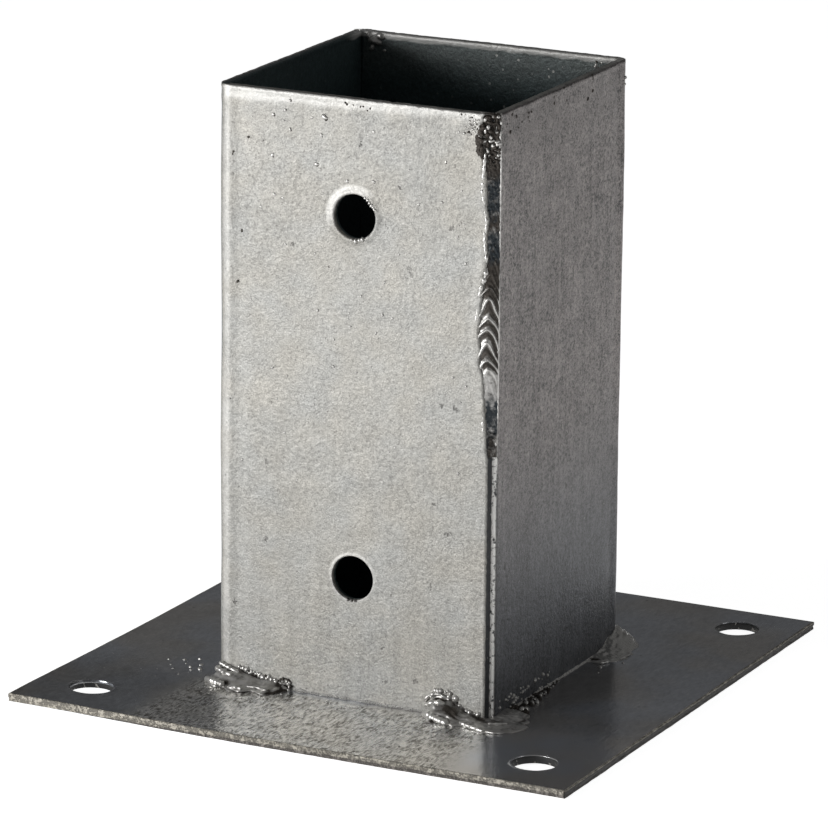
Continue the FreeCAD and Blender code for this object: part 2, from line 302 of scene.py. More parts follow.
class Shell:
    """Patches of closed surfaces in millimetres, gathered until they become one mesh."""

    def __init__(self):
        self.points, self.quads, self.tones, self.count = [], [], [], 0

    def patch(self, points, skip=None, tones=None):
        """Adds a grid of points, [rows, columns, 3], with the skipped cells left open."""
        rows, columns = points.shape[:2]
        index = np.arange(rows * columns).reshape(rows, columns) + self.count
        quads = np.stack([index[:-1, :-1], index[1:, :-1], index[1:, 1:], index[:-1, 1:]], -1)
        self.quads.append(quads.reshape(-1, 4) if skip is None else quads[~skip])
        self.points.append(points.reshape(-1, 3))
        if tones is None:
            tones = np.zeros(points.shape[:2] + (3,))
        self.tones.append(tones.reshape(-1, 3))
        self.count += rows * columns

    def tube(self, points, tones):
        """Adds rings of points, [rings, round, 3], closed at each end by the end ring's middle."""
        caps = points.mean(axis=1, keepdims=True) + 0 * points
        self.patch(np.concatenate([caps[:1], points, caps[-1:]]),
                   tones=np.concatenate([tones[:1], tones, tones[-1:]]))

    def piece(self, name, slot, material, *replaced):
        """One object: points at the same place are merged and normals face outwards."""
        points = np.concatenate(self.points)
        _, first, number = np.unique(np.round(points * 1e4).astype(np.int64), axis=0,
                                     return_index=True, return_inverse=True)
        quads = number.reshape(-1)[np.concatenate(self.quads)]
        same = quads == np.roll(quads, -1, axis=1)
        whole = quads[~same.any(axis=1)]
        pinched = same.sum(axis=1) == 1
        triangles = quads[pinched][~same[pinched]].reshape(-1, 3)
        mesh = bpy.data.meshes.new(name)
        mesh.from_pydata((points[first] * MM).tolist(), [], whole.tolist() + triangles.tolist())
        tones = np.concatenate(self.tones)[first]
        for column, kind in enumerate(("stain", "tarnish", "shine")):
            layer = mesh.attributes.new(kind, "FLOAT", "POINT")
            layer.data.foreach_set("value", np.ascontiguousarray(tones[:, column], np.float32))
        shell = bmesh.new()
        shell.from_mesh(mesh)
        bmesh.ops.recalc_face_normals(shell, faces=shell.faces[:])
        shell.to_mesh(mesh)
        shell.free()
        mesh.polygons.foreach_set("use_smooth", np.ones(len(mesh.polygons), bool))
        mesh.materials.append(material)
        piece = bpy.data.objects.new(name, mesh)
        bpy.context.scene.collection.objects.link(piece)
        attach(piece, "root")
        if replaced:
            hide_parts(*replaced)


def sheet(shell, place, across, up, gauge, edge, holes):
    """A sheet with holes as a closed shell.

    place(s, z, depth) gives the point at s and z on the outer skin and depth under it.
    The skins are the grid of across and up at no depth and at the gauge; edge is the
    border's profile as rows of (how far out, depth). Each hole is (s, z, half the side of
    the square of cells that it takes, its profile, its lip's height by angle). A profile
    row is (share of circle against square, radius, depth, share of the lip's height).
    """
    s, z = np.meshgrid(across, up, indexing="ij")
    middle_s, middle_z = (s[1:, 1:] + s[:-1, :-1]) / 2, (z[1:, 1:] + z[:-1, :-1]) / 2
    skip = np.zeros(middle_s.shape, bool)
    for hole_s, hole_z, half, _, _ in holes:
        skip |= np.maximum(abs(middle_s - hole_s), abs(middle_z - hole_z)) < half
    shell.patch(place(s, z, np.zeros_like(s)), skip)
    shell.patch(place(s, z, np.full_like(s, gauge)), skip)
    border_s, border_z = around(across, up)
    out_s, out_z = (np.sign(border - lines.mean())
                    * (abs(border - lines.mean()) > np.ptp(lines) / 2 - CLOSE)
                    for border, lines in ((border_s, across), (border_z, up)))
    out, depth = (column[:, None] for column in np.array(edge).T)
    shell.patch(place(border_s + out * out_s, border_z + out * out_z, depth + 0 * border_s))
    for hole_s, hole_z, half, profile, lip in holes:
        near = [lines[abs(lines - centre) < half + CLOSE]
                for lines, centre in ((across, hole_s), (up, hole_z))]
        ring_s, ring_z = around(*near)
        turn = np.arctan2(ring_z - hole_z, ring_s - hole_s)
        share, radius, depth, height = (column[:, None] for column in np.array(profile).T)
        shell.patch(place(hole_s + (1 - share) * (ring_s - hole_s) + share * radius * np.cos(turn),
                          hole_z + (1 - share) * (ring_z - hole_z) + share * radius * np.sin(turn),
                          depth - height * lip(turn)))


def round_edge(radius, gauge, steps=4):
    """A sheet's border profile: a quarter circle from each skin, with a flat between."""
    turn = np.linspace(0, np.pi / 2, steps + 1)
    out, depth = radius * np.sin(turn), radius * (1 - np.cos(turn))
    return list(zip(np.r_[out, out[::-1]], np.r_[depth, gauge - depth[::-1]]))


def hole_profile(radius, gauge, lip_width, rings=7):
    """From the square of cells in to the lip, over it, down the wall and back out.

    The lip is a low swelling one lip_width wide around the hole on the outer skin.
    """
    foot = radius + lip_width
    rows = [(share, foot, 0.0, 0.0) for share in np.linspace(0, 1, rings)]
    across = np.array([0.82, 0.64, 0.48, 0.34, 0.22, 0.13])
    lift = np.array([0.12, 0.42, 0.75, 0.97, 1.0, 0.86])
    rows += [(1, radius + lip_width * a, 0.0, b) for a, b in zip(across, lift)]
    rows += [(1, radius + 0.08, 0.08, 0.6), (1, radius, 0.3, 0.3), (1, radius, 0.7, 0.0)]
    rows += [(1, radius, 0.5 * gauge + 0.1, 0), (1, radius, gauge - 0.5, 0),
             (1, radius, gauge - 0.25, 0), (1, radius + 0.08, gauge - 0.07, 0),
             (1, radius + 0.3, gauge, 0)]
    return rows + [(share, foot, gauge, 0.0) for share in np.linspace(1, 0, rings)]


def circle(columns):
    """Angles once round, with their cosines and sines; the last point is the first."""
    turn = np.linspace(0, 2 * np.pi, columns + 1)
    cosine, sine = np.cos(turn), np.sin(turn)
    cosine[-1], sine[-1] = cosine[0], sine[0]
    return turn, cosine, sine


def domes(shell, centres, normals, widths, heights, seed, tones=(0, 0, 1), columns=9):
    """Drops of metal: ellipsoids sunk to their middles in a surface.

    Ring r of each is a circle of the width times cos(r) at the height times sin(r)
    along the normal, out of round by a fifth.
    """
    rng = np.random.default_rng(seed)
    centres, normals = (np.array(rows, float).reshape(-1, 3) for rows in (centres, normals))
    normals = normals / np.linalg.norm(normals, axis=1, keepdims=True) + 0 * centres
    side = np.cross(normals, normals[:, [1, 2, 0]] + (0.31, 0.17, 0.23))
    side /= np.linalg.norm(side, axis=1, keepdims=True)
    other = np.cross(normals, side)
    rise = np.radians([-90, -35, 0, 30, 55, 75, 90])
    turn, cosine, sine = circle(columns)
    size = len(centres)
    squash = rng.uniform(0.8, 1.25, (size, 1, 1))
    bumps = (1 + 0.16 * np.cos(2 * turn + rng.uniform(0, 6, (size, 1, 1)))
             + 0.09 * np.cos(3 * turn + rng.uniform(0, 6, (size, 1, 1))))
    bumps[..., -1] = bumps[..., 0]
    ring = np.cos(rise)[None, :, None] * np.asarray(widths, float).reshape(-1, 1, 1) * bumps
    ring[:, (0, -1)] = 0
    lift = np.sin(rise)[None, :, None] * np.asarray(heights, float).reshape(-1, 1, 1) + 0 * ring
    points = (centres[:, None, None]
              + side[:, None, None] * (ring * squash * cosine)[..., None]
              + other[:, None, None] * (ring / squash * sine)[..., None]
              + normals[:, None, None] * lift[..., None])
    for dome in points:
        shell.patch(dome, tones=np.broadcast_to(np.array(tones, float), dome.shape))


def rolls(shell, paths, seed):
    """Curled lips of melted metal: closed tubes along eased stops, pointed at both ends.

    Each path is (radius, tones, stops). The radius shrinks to nothing at the ends as
    (1 - (2t - 1)^6)^(1/2) and is made uneven by a field along the way.
    """
    _, cosine, sine = circle(12)
    for number, (radius, tones, stops) in enumerate(paths):
        stops = np.array(stops, float)
        reach = np.concatenate([[0], np.cumsum(np.linalg.norm(np.diff(stops, axis=0), axis=1))])
        along = np.linspace(0, reach[-1], max(16, int(reach[-1] / 0.3)))
        line = np.stack([np.interp(along, reach, stops[:, axis]) for axis in range(3)], -1)
        for _ in range(3):
            line[1:-1] = (line[:-2] + 2 * line[1:-1] + line[2:]) / 4
        tangent = np.gradient(line, axis=0)
        tangent /= np.linalg.norm(tangent, axis=1, keepdims=True)
        side = np.cross(tangent, (0.3, 1.0, 0.1))
        side /= np.linalg.norm(side, axis=1, keepdims=True)
        other = np.cross(tangent, side)
        taper = np.sqrt(np.clip(1 - (2 * along / along[-1] - 1) ** 6, 0, 1))
        width = radius * taper * (1 + 0.3 * field(along[:, None] + 7 * number, 1.6, seed))
        ring = side[:, None] * cosine[:, None] + other[:, None] * sine[:, None]
        points = line[:, None] + ring * width[:, None, None]
        shell.patch(points, tones=np.broadcast_to(np.array(tones, float), points.shape))


# ------------------------------------------------------------------ finishes
def sleeve_zinc(look):
    """Dull galvanised sheet: sandy grain, faint tints, pimples, pits and runs low down.

    The right wall is painted darker than the front, brown high up and slate towards the plate:
    partly patina, partly painted shade. The inside of the sleeve is painted dark below its rim as
    painted shade, a little lighter deeper down.
    """
    shader = Shader("sleeve_zinc")
    vector, (x, y, z) = shader.place()
    grain = shader.noise(vector, 0.42, 2.0, 0.6)
    sand = shader.noise(vector, 1.1, 2.0, 0.55)
    mottle = shader.noise(vector, 4.5)
    cloud = shader.noise(vector, 26.0, 3.0, 0.55)
    tint = shader.noise(vector, 12.0)
    streak = shader.noise(shader.stretch(vector, (0.5, 0.5, 0.035)), 1.0)
    wide_x, wide_y = x.size(), y.size()
    wide = wide_x.math("MAXIMUM", wide_y)

    right = x.smooth(OUT - 1.1, OUT - 0.2)
    front = y.smooth(0.6 - OUT, 0.2 - OUT)
    inner = (OUT - 0.8 - wide).smooth(0.0, 0.3)
    deep = z.smooth(TOP - 0.5, TOP - 1.4) * (0.8 + 0.2 * z.smooth(TOP - 3.0, TOP - 14.0))
    left_rim = x.smooth(3.5 - OUT, 2.3 - OUT) * z.smooth(TOP - 0.1, TOP - 0.3)
    inside = inner * deep.math("MAXIMUM", left_rim)

    low = z.smooth(60.0, 8.0)
    coarse = grain.sway(1.3) + sand.sway(1.0) + streak.sway(0.5) + mottle.sway(0.5)
    # Away from the right wall the zinc is painted a little darker from 95 mm up to 130 mm: painted
    # shade.
    tone = (0.5 - 0.04 * z.smooth(95.0, 130.0) * (1 - right) + cloud.sway(0.14)
            + mottle.sway(0.16) + sand.sway(0.34) + grain.sway(0.65)
            + 0.22 * low * (streak - 0.5) + right * (0.35 + 0.65 * z.smooth(15.0, 90.0)) * coarse)
    zinc = shader.mix(tint.smooth(0.25, 0.8), look.zinc_warm, look.zinc_cool)
    # The right wall's own colour, brown high up and slate near the plate: partly patina, partly
    # painted shade that makes it darker than the front and darkest near the plate.
    drop = (z + cloud.sway(16.0)).smooth(80.0, 20.0)
    zinc = shader.mix(right, zinc, shader.mix(drop, look.patina_and_shade_high, look.patina_and_shade_low))
    # Painted shade inside the sleeve below its rim, a little lighter deeper down.
    inside_shade = shader.mix(z.smooth(TOP - 12.0, TOP - 34.0), look.inside_shade_colour, DEEP_INSIDE_SHADE)
    zinc = shader.mix(inside, zinc, inside_shade)
    colour = shader.mix(tone, BLACK, zinc)

    # Painted highlights: round the two holes, along the rims and down the left bend.
    rise, fall = z - UPPER_HOLE, z - LOWER_HOLE
    reach = (x * x + rise * rise) ** 0.5
    crescent = (reach.smooth(BOLT_RADIUS + 2.8, BOLT_RADIUS + 1.5)
                * reach.smooth(BOLT_RADIUS - 0.5, BOLT_RADIUS + 0.1)
                * (rise - 0.7 * x + mottle.sway(1.5)).smooth(0.5, 5.5))
    near = (x * x + fall * fall) ** 0.5
    ring = (near.smooth(BOLT_RADIUS + 1.2, BOLT_RADIUS + 0.6)
            * near.smooth(BOLT_RADIUS - 0.3, BOLT_RADIUS + 0.1))
    band = ((z + mottle.sway(1.6) - 0.02 * x).smooth(TOP - 3.4, TOP - 1.8)
            * z.smooth(TOP - 0.05, TOP - 0.3))
    rim = (z + mottle.sway(1.4)).smooth(TOP - 2.1, TOP - 1.4) * (1 - right)
    bend = (x.smooth(4.1 - OUT, 3.1 - OUT) * x.smooth(0.2 - OUT, 0.9 - OUT)
            * (0.6 + 0.4 * mottle.smooth(0.35, 0.6)))
    bright = (front * (0.6 * crescent + 0.35 * ring + 0.55 * band + 0.4 * bend)
              + inner * 0.85 * rim * y.smooth(26.0, 34.0))
    colour = shader.mix(bright.times(0.75), colour, look.painted_highlight)

    # Painted shade: on the top edge, in the cut corners and at the seam's foot, with a painted
    # highlight on a strip in the cut corners.
    top = z.smooth(TOP - 0.45, TOP - 0.2) * (0.55 + 0.45 * sand.smooth(0.4, 0.55))
    colour = shader.over(colour, top * 0.85, TOP_EDGE)
    corner = (wide_x.smooth(END - 0.35, END - 0.05) * wide_y.smooth(END - 0.4, END - 0.1)
              * (x * y).smooth(0.0, -100.0)
              * wide.smooth(OUT - 1.8, OUT - 1.55) * wide_y.smooth(OUT - 0.1, OUT - 0.35))
    strip = wide_y.smooth(OUT - 1.5, OUT - 1.7) * (sand + grain.sway(0.4)).smooth(0.3, 0.5)
    colour = shader.mix(corner, colour, shader.mix(strip, CUT_CORNER, look.painted_highlight))
    shade = (x.smooth(OUT - 0.3, OUT - 0.1) * y.smooth(3.3 - OUT, 2.3 - OUT)
             * z.smooth(66.0, 62.0))
    colour = shader.over(colour, shade * 0.7, SEAM_SHADE)

    # Pits, specks and scuffs; then painted glints: shiny specks outside and sparkling specks on the
    # inner walls, more towards the right.
    pits = shader.cells(vector, 6.5)
    chance = shader.noise(vector, 19.0, 1.0)
    pit = (pits + sand.sway(0.5) + grain.sway(0.3)).smooth(0.09, 0.04) * chance.smooth(0.5, 0.65)
    speck = shader.cells(vector, 1.7)
    dark = speck.smooth(0.22, 0.12) * (grain + mottle).smooth(1.0, 1.25)
    scuff = ((sand + streak.sway(0.6) + grain.sway(0.25)).smooth(0.54, 0.66)
             * z.smooth(TOP - 16.0, TOP - 2.0) * right)
    colour = shader.over(colour, 0.6 * pit + 0.5 * dark + 0.65 * scuff, PIT)
    shiny = speck.smooth(0.2, 0.1) * (grain + mottle).smooth(0.95, 0.75)
    inside_glints = (inner * shader.cells(vector, 2.4).smooth(0.17, 0.1)
            * (x.smooth(-18.0, 12.0) + sand - 0.5))
    colour = shader.over(colour, 0.35 * shiny * (1 - inner) + 0.5 * inside_glints, PAINTED_GLINT)
    height = 0.08 * grain + 0.14 * sand + 0.14 * mottle - 0.1 * pit + 0.05 * shiny
    rough = 0.5 + cloud.sway(0.14) + grain.sway(0.12) - 0.06 * right
    return shader.finish(Base_Color=colour, Metallic=0.35, Roughness=rough,
                         Normal=shader.bump(height))


def plate_zinc(look):
    """Darker, smoother zinc: rippled runs, strongest in front where a painted reflection of the
    front wall lies, specks, and a raw sheared edge.
    """
    shader = Shader("plate_zinc")
    vector, (x, y, z) = shader.place()
    grain = shader.noise(vector, 0.45, 2.0, 0.6)
    sand = shader.noise(vector, 1.5, 2.0, 0.55)
    run = shader.noise(shader.stretch(vector, (0.35, 0.7, 1.0)), 1.6, 3.0, 0.6, 0.6)
    cloud = shader.noise(vector, 20.0, 3.0, 0.55)
    tint = shader.noise(vector, 30.0)
    tooth = shader.noise(shader.stretch(vector, (1.0, 0.3, 1.0)), 0.55, 2.0, 0.6)
    scale = shader.noise(shader.stretch(vector, (0.8, 0.4, 1.0)), 1.5, 2.0, 0.6)
    wide_x, wide_y = x.size(), y.size()

    # The apron is the ground in front of the sleeve, on the upper face only, where a painted
    # reflection of the front wall lies, grainy with dark and bright grains.
    reflection_apron = (y.smooth(-0.5 - OUT, -4.5 - OUT) * wide_x.smooth(OUT + 8.5, OUT + 0.5)
             * z.smooth(THICK - 0.8, THICK - 0.4))
    corner = (y.smooth(-30.0, -50.0)
              * (0.5 * x.smooth(34.0, 50.0) - 0.28 * x.smooth(-34.0, -50.0)))
    tone = (0.74 + corner + cloud.sway(0.3) + (0.5 + 1.5 * reflection_apron) * (tooth - 0.5)
            + (0.3 + 1.7 * reflection_apron) * (scale - 0.5))
    zinc = shader.mix(tint.smooth(0.4, 0.62), look.plate_colour, look.plate_brown)
    colour = shader.mix(tone, BLACK, zinc)
    # Painted reflection of the front wall: a warm zinc tint, dark grains and light grains.
    colour = shader.over(colour, reflection_apron * 0.4 * (run + 0.4), look.zinc_warm)
    reflection_grain = tooth + scale.sway(0.3) + run.sway(0.25)
    colour = shader.over(colour, reflection_apron * 0.9 * reflection_grain.smooth(0.51, 0.62), DARK_REFLECTION_GRAIN)
    colour = shader.over(colour, reflection_apron * 0.95 * reflection_grain.smooth(0.49, 0.38), look.painted_highlight)
    fleck = shader.cells(vector, 2.6).smooth(0.13, 0.07) * (sand + 0.2 * reflection_apron).smooth(0.5, 0.62)
    colour = shader.over(colour, fleck * 0.8, PLATE_FLECK)
    spot = shader.cells(vector, 4.1).smooth(0.1, 0.05) * cloud.smooth(0.45, 0.6)
    colour = shader.over(colour, spot * 0.7, PLATE_SPOT)

    # The sheared edge: torn below, burnished above, with painted shade on the right side's face.
    side = wide_x.math("MAXIMUM", wide_y).smooth(PLATE_WIDE - 0.55, PLATE_WIDE - 0.35)
    crumb = (grain + sand.sway(0.8)).smooth(0.36, 0.62)
    raw = shader.mix((z + sand.sway(0.5)).smooth(0.75, 1.15), look.edge_low, look.edge_high)
    right_edge_shade = (x.smooth(PLATE_WIDE - 0.6, PLATE_WIDE - 0.3)
             * z.smooth(THICK - 0.25, THICK - 0.4))
    raw = shader.mix(right_edge_shade, raw, RIGHT_EDGE_SHADE)
    colour = shader.mix(side, colour, shader.mix(0.3 + 0.7 * crumb, EDGE_CRUMB, raw))

    # The walls of the anchor holes: painted shade, nearly black, with a few painted glints.
    hole_x, hole_y = wide_x - ANCHOR_PITCH / 2, wide_y - ANCHOR_PITCH / 2
    from_middle = (hole_x * hole_x + hole_y * hole_y) ** 0.5
    bore = (from_middle.smooth(ANCHOR_RADIUS + 0.5, ANCHOR_RADIUS + 0.2)
            * z.smooth(THICK + 0.02, THICK - 0.1))
    bore_glints = (sand + grain.sway(0.5)).smooth(0.64, 0.7)
    colour = shader.mix(bore, colour, shader.mix(bore_glints, BORE_SHADE, BORE_GLINT))

    height = ((0.03 + 0.02 * reflection_apron) * tooth + (0.04 + 0.05 * reflection_apron) * scale
              + (0.05 + 0.04 * reflection_apron) * run + 0.06 * fleck + side * 0.25 * crumb)
    cut = (side + bore).times(1.0)
    rough = 0.21 + cloud.sway(0.12) + reflection_apron * (0.04 + scale.sway(0.3)) + 0.4 * cut
    return shader.finish(Base_Color=colour, Metallic=0.85 - 0.65 * cut, Roughness=rough,
                         Normal=shader.bump(height))


def weld_zinc(look):
    """Weld metal under zinc: it shines, is stained brown or is tarnished slate; the dark stain
    colour also paints shade in the seam beads' craters and ripple hollows, and shadows under
    pimples.

    How much of each is written on the points of the mesh, and noise breaks it up.
    """
    shader = Shader("weld_zinc")
    vector, _ = shader.place()
    shine, stain_and_shade_level, tarnished = (
        shader.value("ShaderNodeAttribute", {"attribute_name": kind}, {}, "Fac")
        for kind in ("shine", "stain", "tarnish"))
    grain = shader.noise(vector, 0.5, 3.0, 0.6)
    patch = shader.noise(vector, 1.6, 3.0, 0.6)
    stain = (stain_and_shade_level + patch.sway(1.1)).smooth(0.2, 0.8)
    tarnish = (tarnished + patch.sway(2.4)).smooth(0.2, 1.05)
    colour = shader.mix(shine, look.weld_dull, look.weld_colour)
    colour = shader.mix((0.55 + patch.sway(0.9)).times(0.6), colour, look.weld_dull)
    colour = shader.mix(stain * 0.95, colour, look.weld_stain_and_shade)
    colour = shader.mix(tarnish, colour, look.weld_tarnish)
    fleck = grain.smooth(0.6, 0.72)
    colour = shader.mix(fleck * stain * 0.35, colour, WELD_FLECK)
    rough = 0.42 - 0.1 * shine + 0.2 * stain - 0.14 * tarnish + grain.sway(0.15)
    return shader.finish(Base_Color=colour, Metallic=0.65, Roughness=rough,
                         Normal=shader.bump(0.05 * grain + 0.1 * patch))


# ------------------------------------------------------------------ settings
def colour(name, description, default):
    """A colour setting."""
    return FloatVectorProperty(name=name, description=description, default=default,
                               subtype="COLOR", min=0, max=1)


class PostBaseLook(bpy.types.PropertyGroup):
    """Colours and amounts of the finish."""

    zinc_warm: colour("Warm zinc", "Zinc where it has a warm tint", (0.80, 0.77, 0.70))
    # Painted highlights: round the bolt holes, along the rims, down the left bend, on a strip in
    # the cut corners, and light grains in the plate's painted reflection.
    painted_highlight: colour("Bright zinc", "Fresh zinc on lips and rims", (0.92, 0.91, 0.88))
    zinc_cool: colour("Cool zinc", "Zinc where it is neutral", (0.78, 0.78, 0.75))
    # The right wall's colours, brown high up and slate low down: partly patina, partly painted
    # shade.
    patina_and_shade_high: colour("Upper patina", "Patina on the right wall, high up", (0.50, 0.455, 0.44))
    patina_and_shade_low: colour("Lower patina", "Patina on the right wall near the plate",
                       (0.25, 0.26, 0.28))
    # Painted shade inside the sleeve, below its rim.
    inside_shade_colour: colour("Inside", "Zinc inside the sleeve", (0.105, 0.16, 0.168))
    plate_colour: colour("Plate zinc", "Zinc on the plate", (0.66, 0.69, 0.75))
    plate_brown: colour("Brown plate", "Where the plate's zinc is tinted brown", (0.68, 0.66, 0.64))
    edge_high: colour("Edge, upper", "The burnished half of the plate's sheared edge",
                      (0.62, 0.58, 0.50))
    edge_low: colour("Edge, lower", "The torn half of the plate's sheared edge", (0.24, 0.22, 0.20))
    seed: IntProperty(name="Seed", description="Where the drops and spatter fall", default=4, min=0)
    hole_lip: FloatProperty(name="Hole lip", description="Height of the lip round a bolt hole",
                            default=0.0005, min=0, max=0.002, unit="LENGTH")
    corner_lift: FloatProperty(
        name="Corner lift", description="How far one corner of the plate is turned up",
        default=0.0009, min=0, max=0.005, unit="LENGTH")
    weld_colour: colour("Weld zinc", "Zinc on the weld beads", (0.72, 0.71, 0.68))
    weld_dull: colour("Dull weld", "Weld metal that doesn't shine", (0.38, 0.37, 0.36))
    # Brown scale, and also the dark colour of painted shade in the seams' craters and ripple
    # hollows and of painted shadows under pimples.
    weld_stain_and_shade: colour("Stained weld", "Brown scale on the beads", (0.04, 0.032, 0.025))
    weld_tarnish: colour("Tarnished weld", "Slate glaze on the beads", (0.022, 0.028, 0.033))


class PostBaseStage(bpy.types.PropertyGroup):
    """Where the camera and the lamps stand."""

    azimuth: FloatProperty(name="Azimuth", description="Camera's turn from the front",
                           default=math.radians(26.344), subtype="ANGLE")
    elevation: FloatProperty(name="Elevation", description="Camera's height above the horizon",
                             default=math.radians(15.297), subtype="ANGLE")
    roll: FloatProperty(name="Roll", description="Camera's turn about its own line of sight",
                        default=math.radians(0.526), subtype="ANGLE")
    distance: FloatProperty(name="Distance", description="From the camera to the aim",
                            default=1.44865, unit="LENGTH")
    slide: FloatVectorProperty(
        name="Framing", description="Aim's place right of and above the middle",
        default=(0.00217, 0.009406), size=2, unit="LENGTH")
    focal: FloatProperty(name="Focal length", description="Lens in millimetres on a 36 mm sensor",
                         default=255.99)
    key_power: FloatProperty(name="Key light", description="Power of the lamp at the front left",
                             default=4.6, min=0)
    ambient: FloatProperty(name="Ambient", description="Strength of the even light all round",
                           default=0.105, min=0, max=1)
    fill_power: FloatProperty(name="Fill light", description="Power of the lamp at the back right",
                              default=0.8, min=0)


# ------------------------------------------------------------------ the folded sleeve
def fold(s, depth):
    """Developed length along the outside, and depth under it, to x and y.

    The front wall runs towards -X, a quarter circle takes it round the bend and the
    left wall runs towards +Y: centre + normal (radius - depth) + tangent (what is left).
    """
    past = s - LEG
    turn = np.clip(past / BEND, 0, np.pi / 2)
    left = np.where(past < 0, past, np.maximum(past - ARC, 0))
    out = BEND - depth
    centre = BEND - OUT
    return (centre - np.sin(turn) * out - np.cos(turn) * left,
            centre - np.cos(turn) * out + np.sin(turn) * left)


def angle_skin(seed, worn, eaten):
    """The sleeve angle's place function: the fold, with the sheet's small faults added.

    Both skins move together by a field of long waves and a hollow beside the bend. Both
    also swell in a bead under the top rim. The rim and the cut ends are ragged: worn
    gives how deep the nicks in the rim are along the front wall, and eaten how far the
    front wall's end has melted back at each height, with a raised lip beside it.
    """
    def place(s, z, depth):
        flat = np.stack([s, z], -1)
        free = (ease(z, [(FLOOR, 0), (FLOOR + 12, 1)])
                * ease(s, [(0, 0.2), (14, 1), (DEVELOPED - 14, 1), (DEVELOPED, 0.2)]))
        wave = 0.13 * field(flat, 52, seed) + 0.035 * field(flat, 13, seed + 1)
        beside = abs(s - (LEG + BEND * np.pi / 4))
        hollow = -0.2 * bell(beside, 5.6, 1.6) + 0.1 * bell(beside, 2.9, 1.0)
        under = TOP - z
        bead = 0.16 * bell(under, 0.9, 0.55) * (0.75 + 0.5 * field(flat, 3.2, seed + 2))
        drip = 0.05 * bell(under, 3.4, 1.6) * (1 + field(flat, 5.0, seed + 3))
        skin, inner = np.clip(1 - depth, 0, 1), np.clip(depth - 1, 0, 1)
        melt = (ease(z, eaten) * ease(depth, [(0.6, 1), (1.6, 0)])
                * (1 + 0.12 * field(flat[..., 1:], 1.6, seed + 7)))
        lip = (np.minimum(melt, 1) * bell(s, 0.9, 0.7)
               * (0.3 + 0.3 * field(flat, 1.9, seed + 8)))
        lift = free * (wave + hollow) + skin * (bead + drip + lip) - inner * 1.2 * bead
        rough = field(np.stack([s, 4 * depth], -1), 1.5, seed + 4)
        nick = ease(s, worn) * np.maximum(0, 0.7 * rough - 0.22
                                          + 0.3 * field(flat[..., :1], 5, seed + 5))
        rim = ease(z, [(TOP - 2.2, 0), (TOP - 0.2, 1)])
        z = z - rim * (0.04 + 0.05 * rough + nick)
        end = ease(s, [(0, 1), (1.2, 0)]) - ease(s, [(DEVELOPED - 1.2, 0), (DEVELOPED, 1)])
        ragged = (ease(s, [(0, -0.8), (DEVELOPED, 0.0)])
                  + 0.1 * field(np.stack([z, 3 * depth], -1), 2.1, seed + 6))
        overlap = (ease(depth, [(1.1, 0), (1.7, 0.6)])
                   * ease(z, [(SEAM_END, 1), (SEAM_END + 3, 0)]))
        s = s + end * (ragged - overlap) + melt * ease(s, [(0, 1), (8, 0)])
        x, y = fold(s, depth - lift)
        return np.stack([x, y, np.minimum(z, TOP)], -1)
    return place


def lip_around(levels, height, seed):
    """A lip's height by angle: eased levels times the height, made uneven by a field."""
    levels = [(turn, level * height) for turn, level in levels]

    def lip(turn):
        even = ease(turn % (2 * np.pi), levels)
        ring = np.stack([np.cos(turn), np.sin(turn)], -1)
        return even * (1 + 0.35 * field(ring, 0.8, seed))
    return lip


def angle_shell(seed, worn, eaten, holes):
    """One folded angle: the sheet over the developed legs, folded round the bend."""
    shell = Shell()
    edge, second, third = 0.3, 0.35, 1.2                  # rounding, then the next grid lines in
    half = 9.0                                            # of the square round a bolt hole
    hole_s = END                                          # the wall's middle, from its cut end
    across = np.concatenate([[edge, edge + second],
                             spread(edge + third, hole_s - half, hole_s + half, LEG, step=1.1),
                             spread(LEG, LEG + ARC, step=0.5)[1:],
                             spread(LEG + ARC, DEVELOPED - edge - third, step=1.3)[1:],
                             [DEVELOPED - edge - second, DEVELOPED - edge]])
    stops = [FLOOR + edge + third]
    for height in sorted(hole[0] for hole in holes):
        stops += [height - half, height + half]
    up = np.concatenate([[FLOOR + edge, FLOOR + edge + second],
                         spread(*stops, TOP - edge - 4, step=1.1),
                         spread(TOP - edge - 4, TOP - edge, step=0.4)[1:]])
    squares = [(hole_s, height, half, hole_profile(BOLT_RADIUS, GAUGE, width), lip)
               for height, width, lip in holes]
    sheet(shell, angle_skin(seed, worn, eaten), across, up, GAUGE, round_edge(edge, GAUGE),
          squares)
    return shell


class POSTBASE_OT_sleeve(bpy.types.Operator):
    """Fold the two angles of the sleeve, with their bolt holes, worn rims and faults"""

    bl_idname = "postbase.sleeve"
    bl_label = "Fold the sleeve"

    def execute(self, context):
        look = context.scene.post_base_look
        zinc = sleeve_zinc(look)
        lip = look.hole_lip / MM
        tall = lip_around([(0, 0.55), (0.9, 0.75), (2.2, 0.6), (3.6, 0.35), (5.0, 0.4),
                           (6.3, 0.55)], lip, 31)
        low = lip_around([(0, 0.25), (3.1, 0.15), (4.7, 0.2), (6.3, 0.25)], lip, 32)
        worn = [(0, 0.9), (8, 0.4), (20, 0.6), (32, 0.9), (37, 0.1), (DEVELOPED, 0.1)]
        front = angle_shell(5, worn, FRONT_MELT, [(UPPER_HOLE, 2.1, tall), (LOWER_HOLE, 1.1, low)])
        front.piece("sleeve_front_left", "sleeve_zinc", zinc, "front_left_angle")
        back = angle_shell(17, [(0, 0.1), (DEVELOPED, 0.3)], BACK_MELT,
                           [(UPPER_HOLE, 1.1, low), (LOWER_HOLE, 1.1, low)])
        for points in back.points:
            points[:, :2] *= -1
        back.piece("sleeve_back_right", "sleeve_zinc", zinc, "back_right_angle")
        return {"FINISHED"}


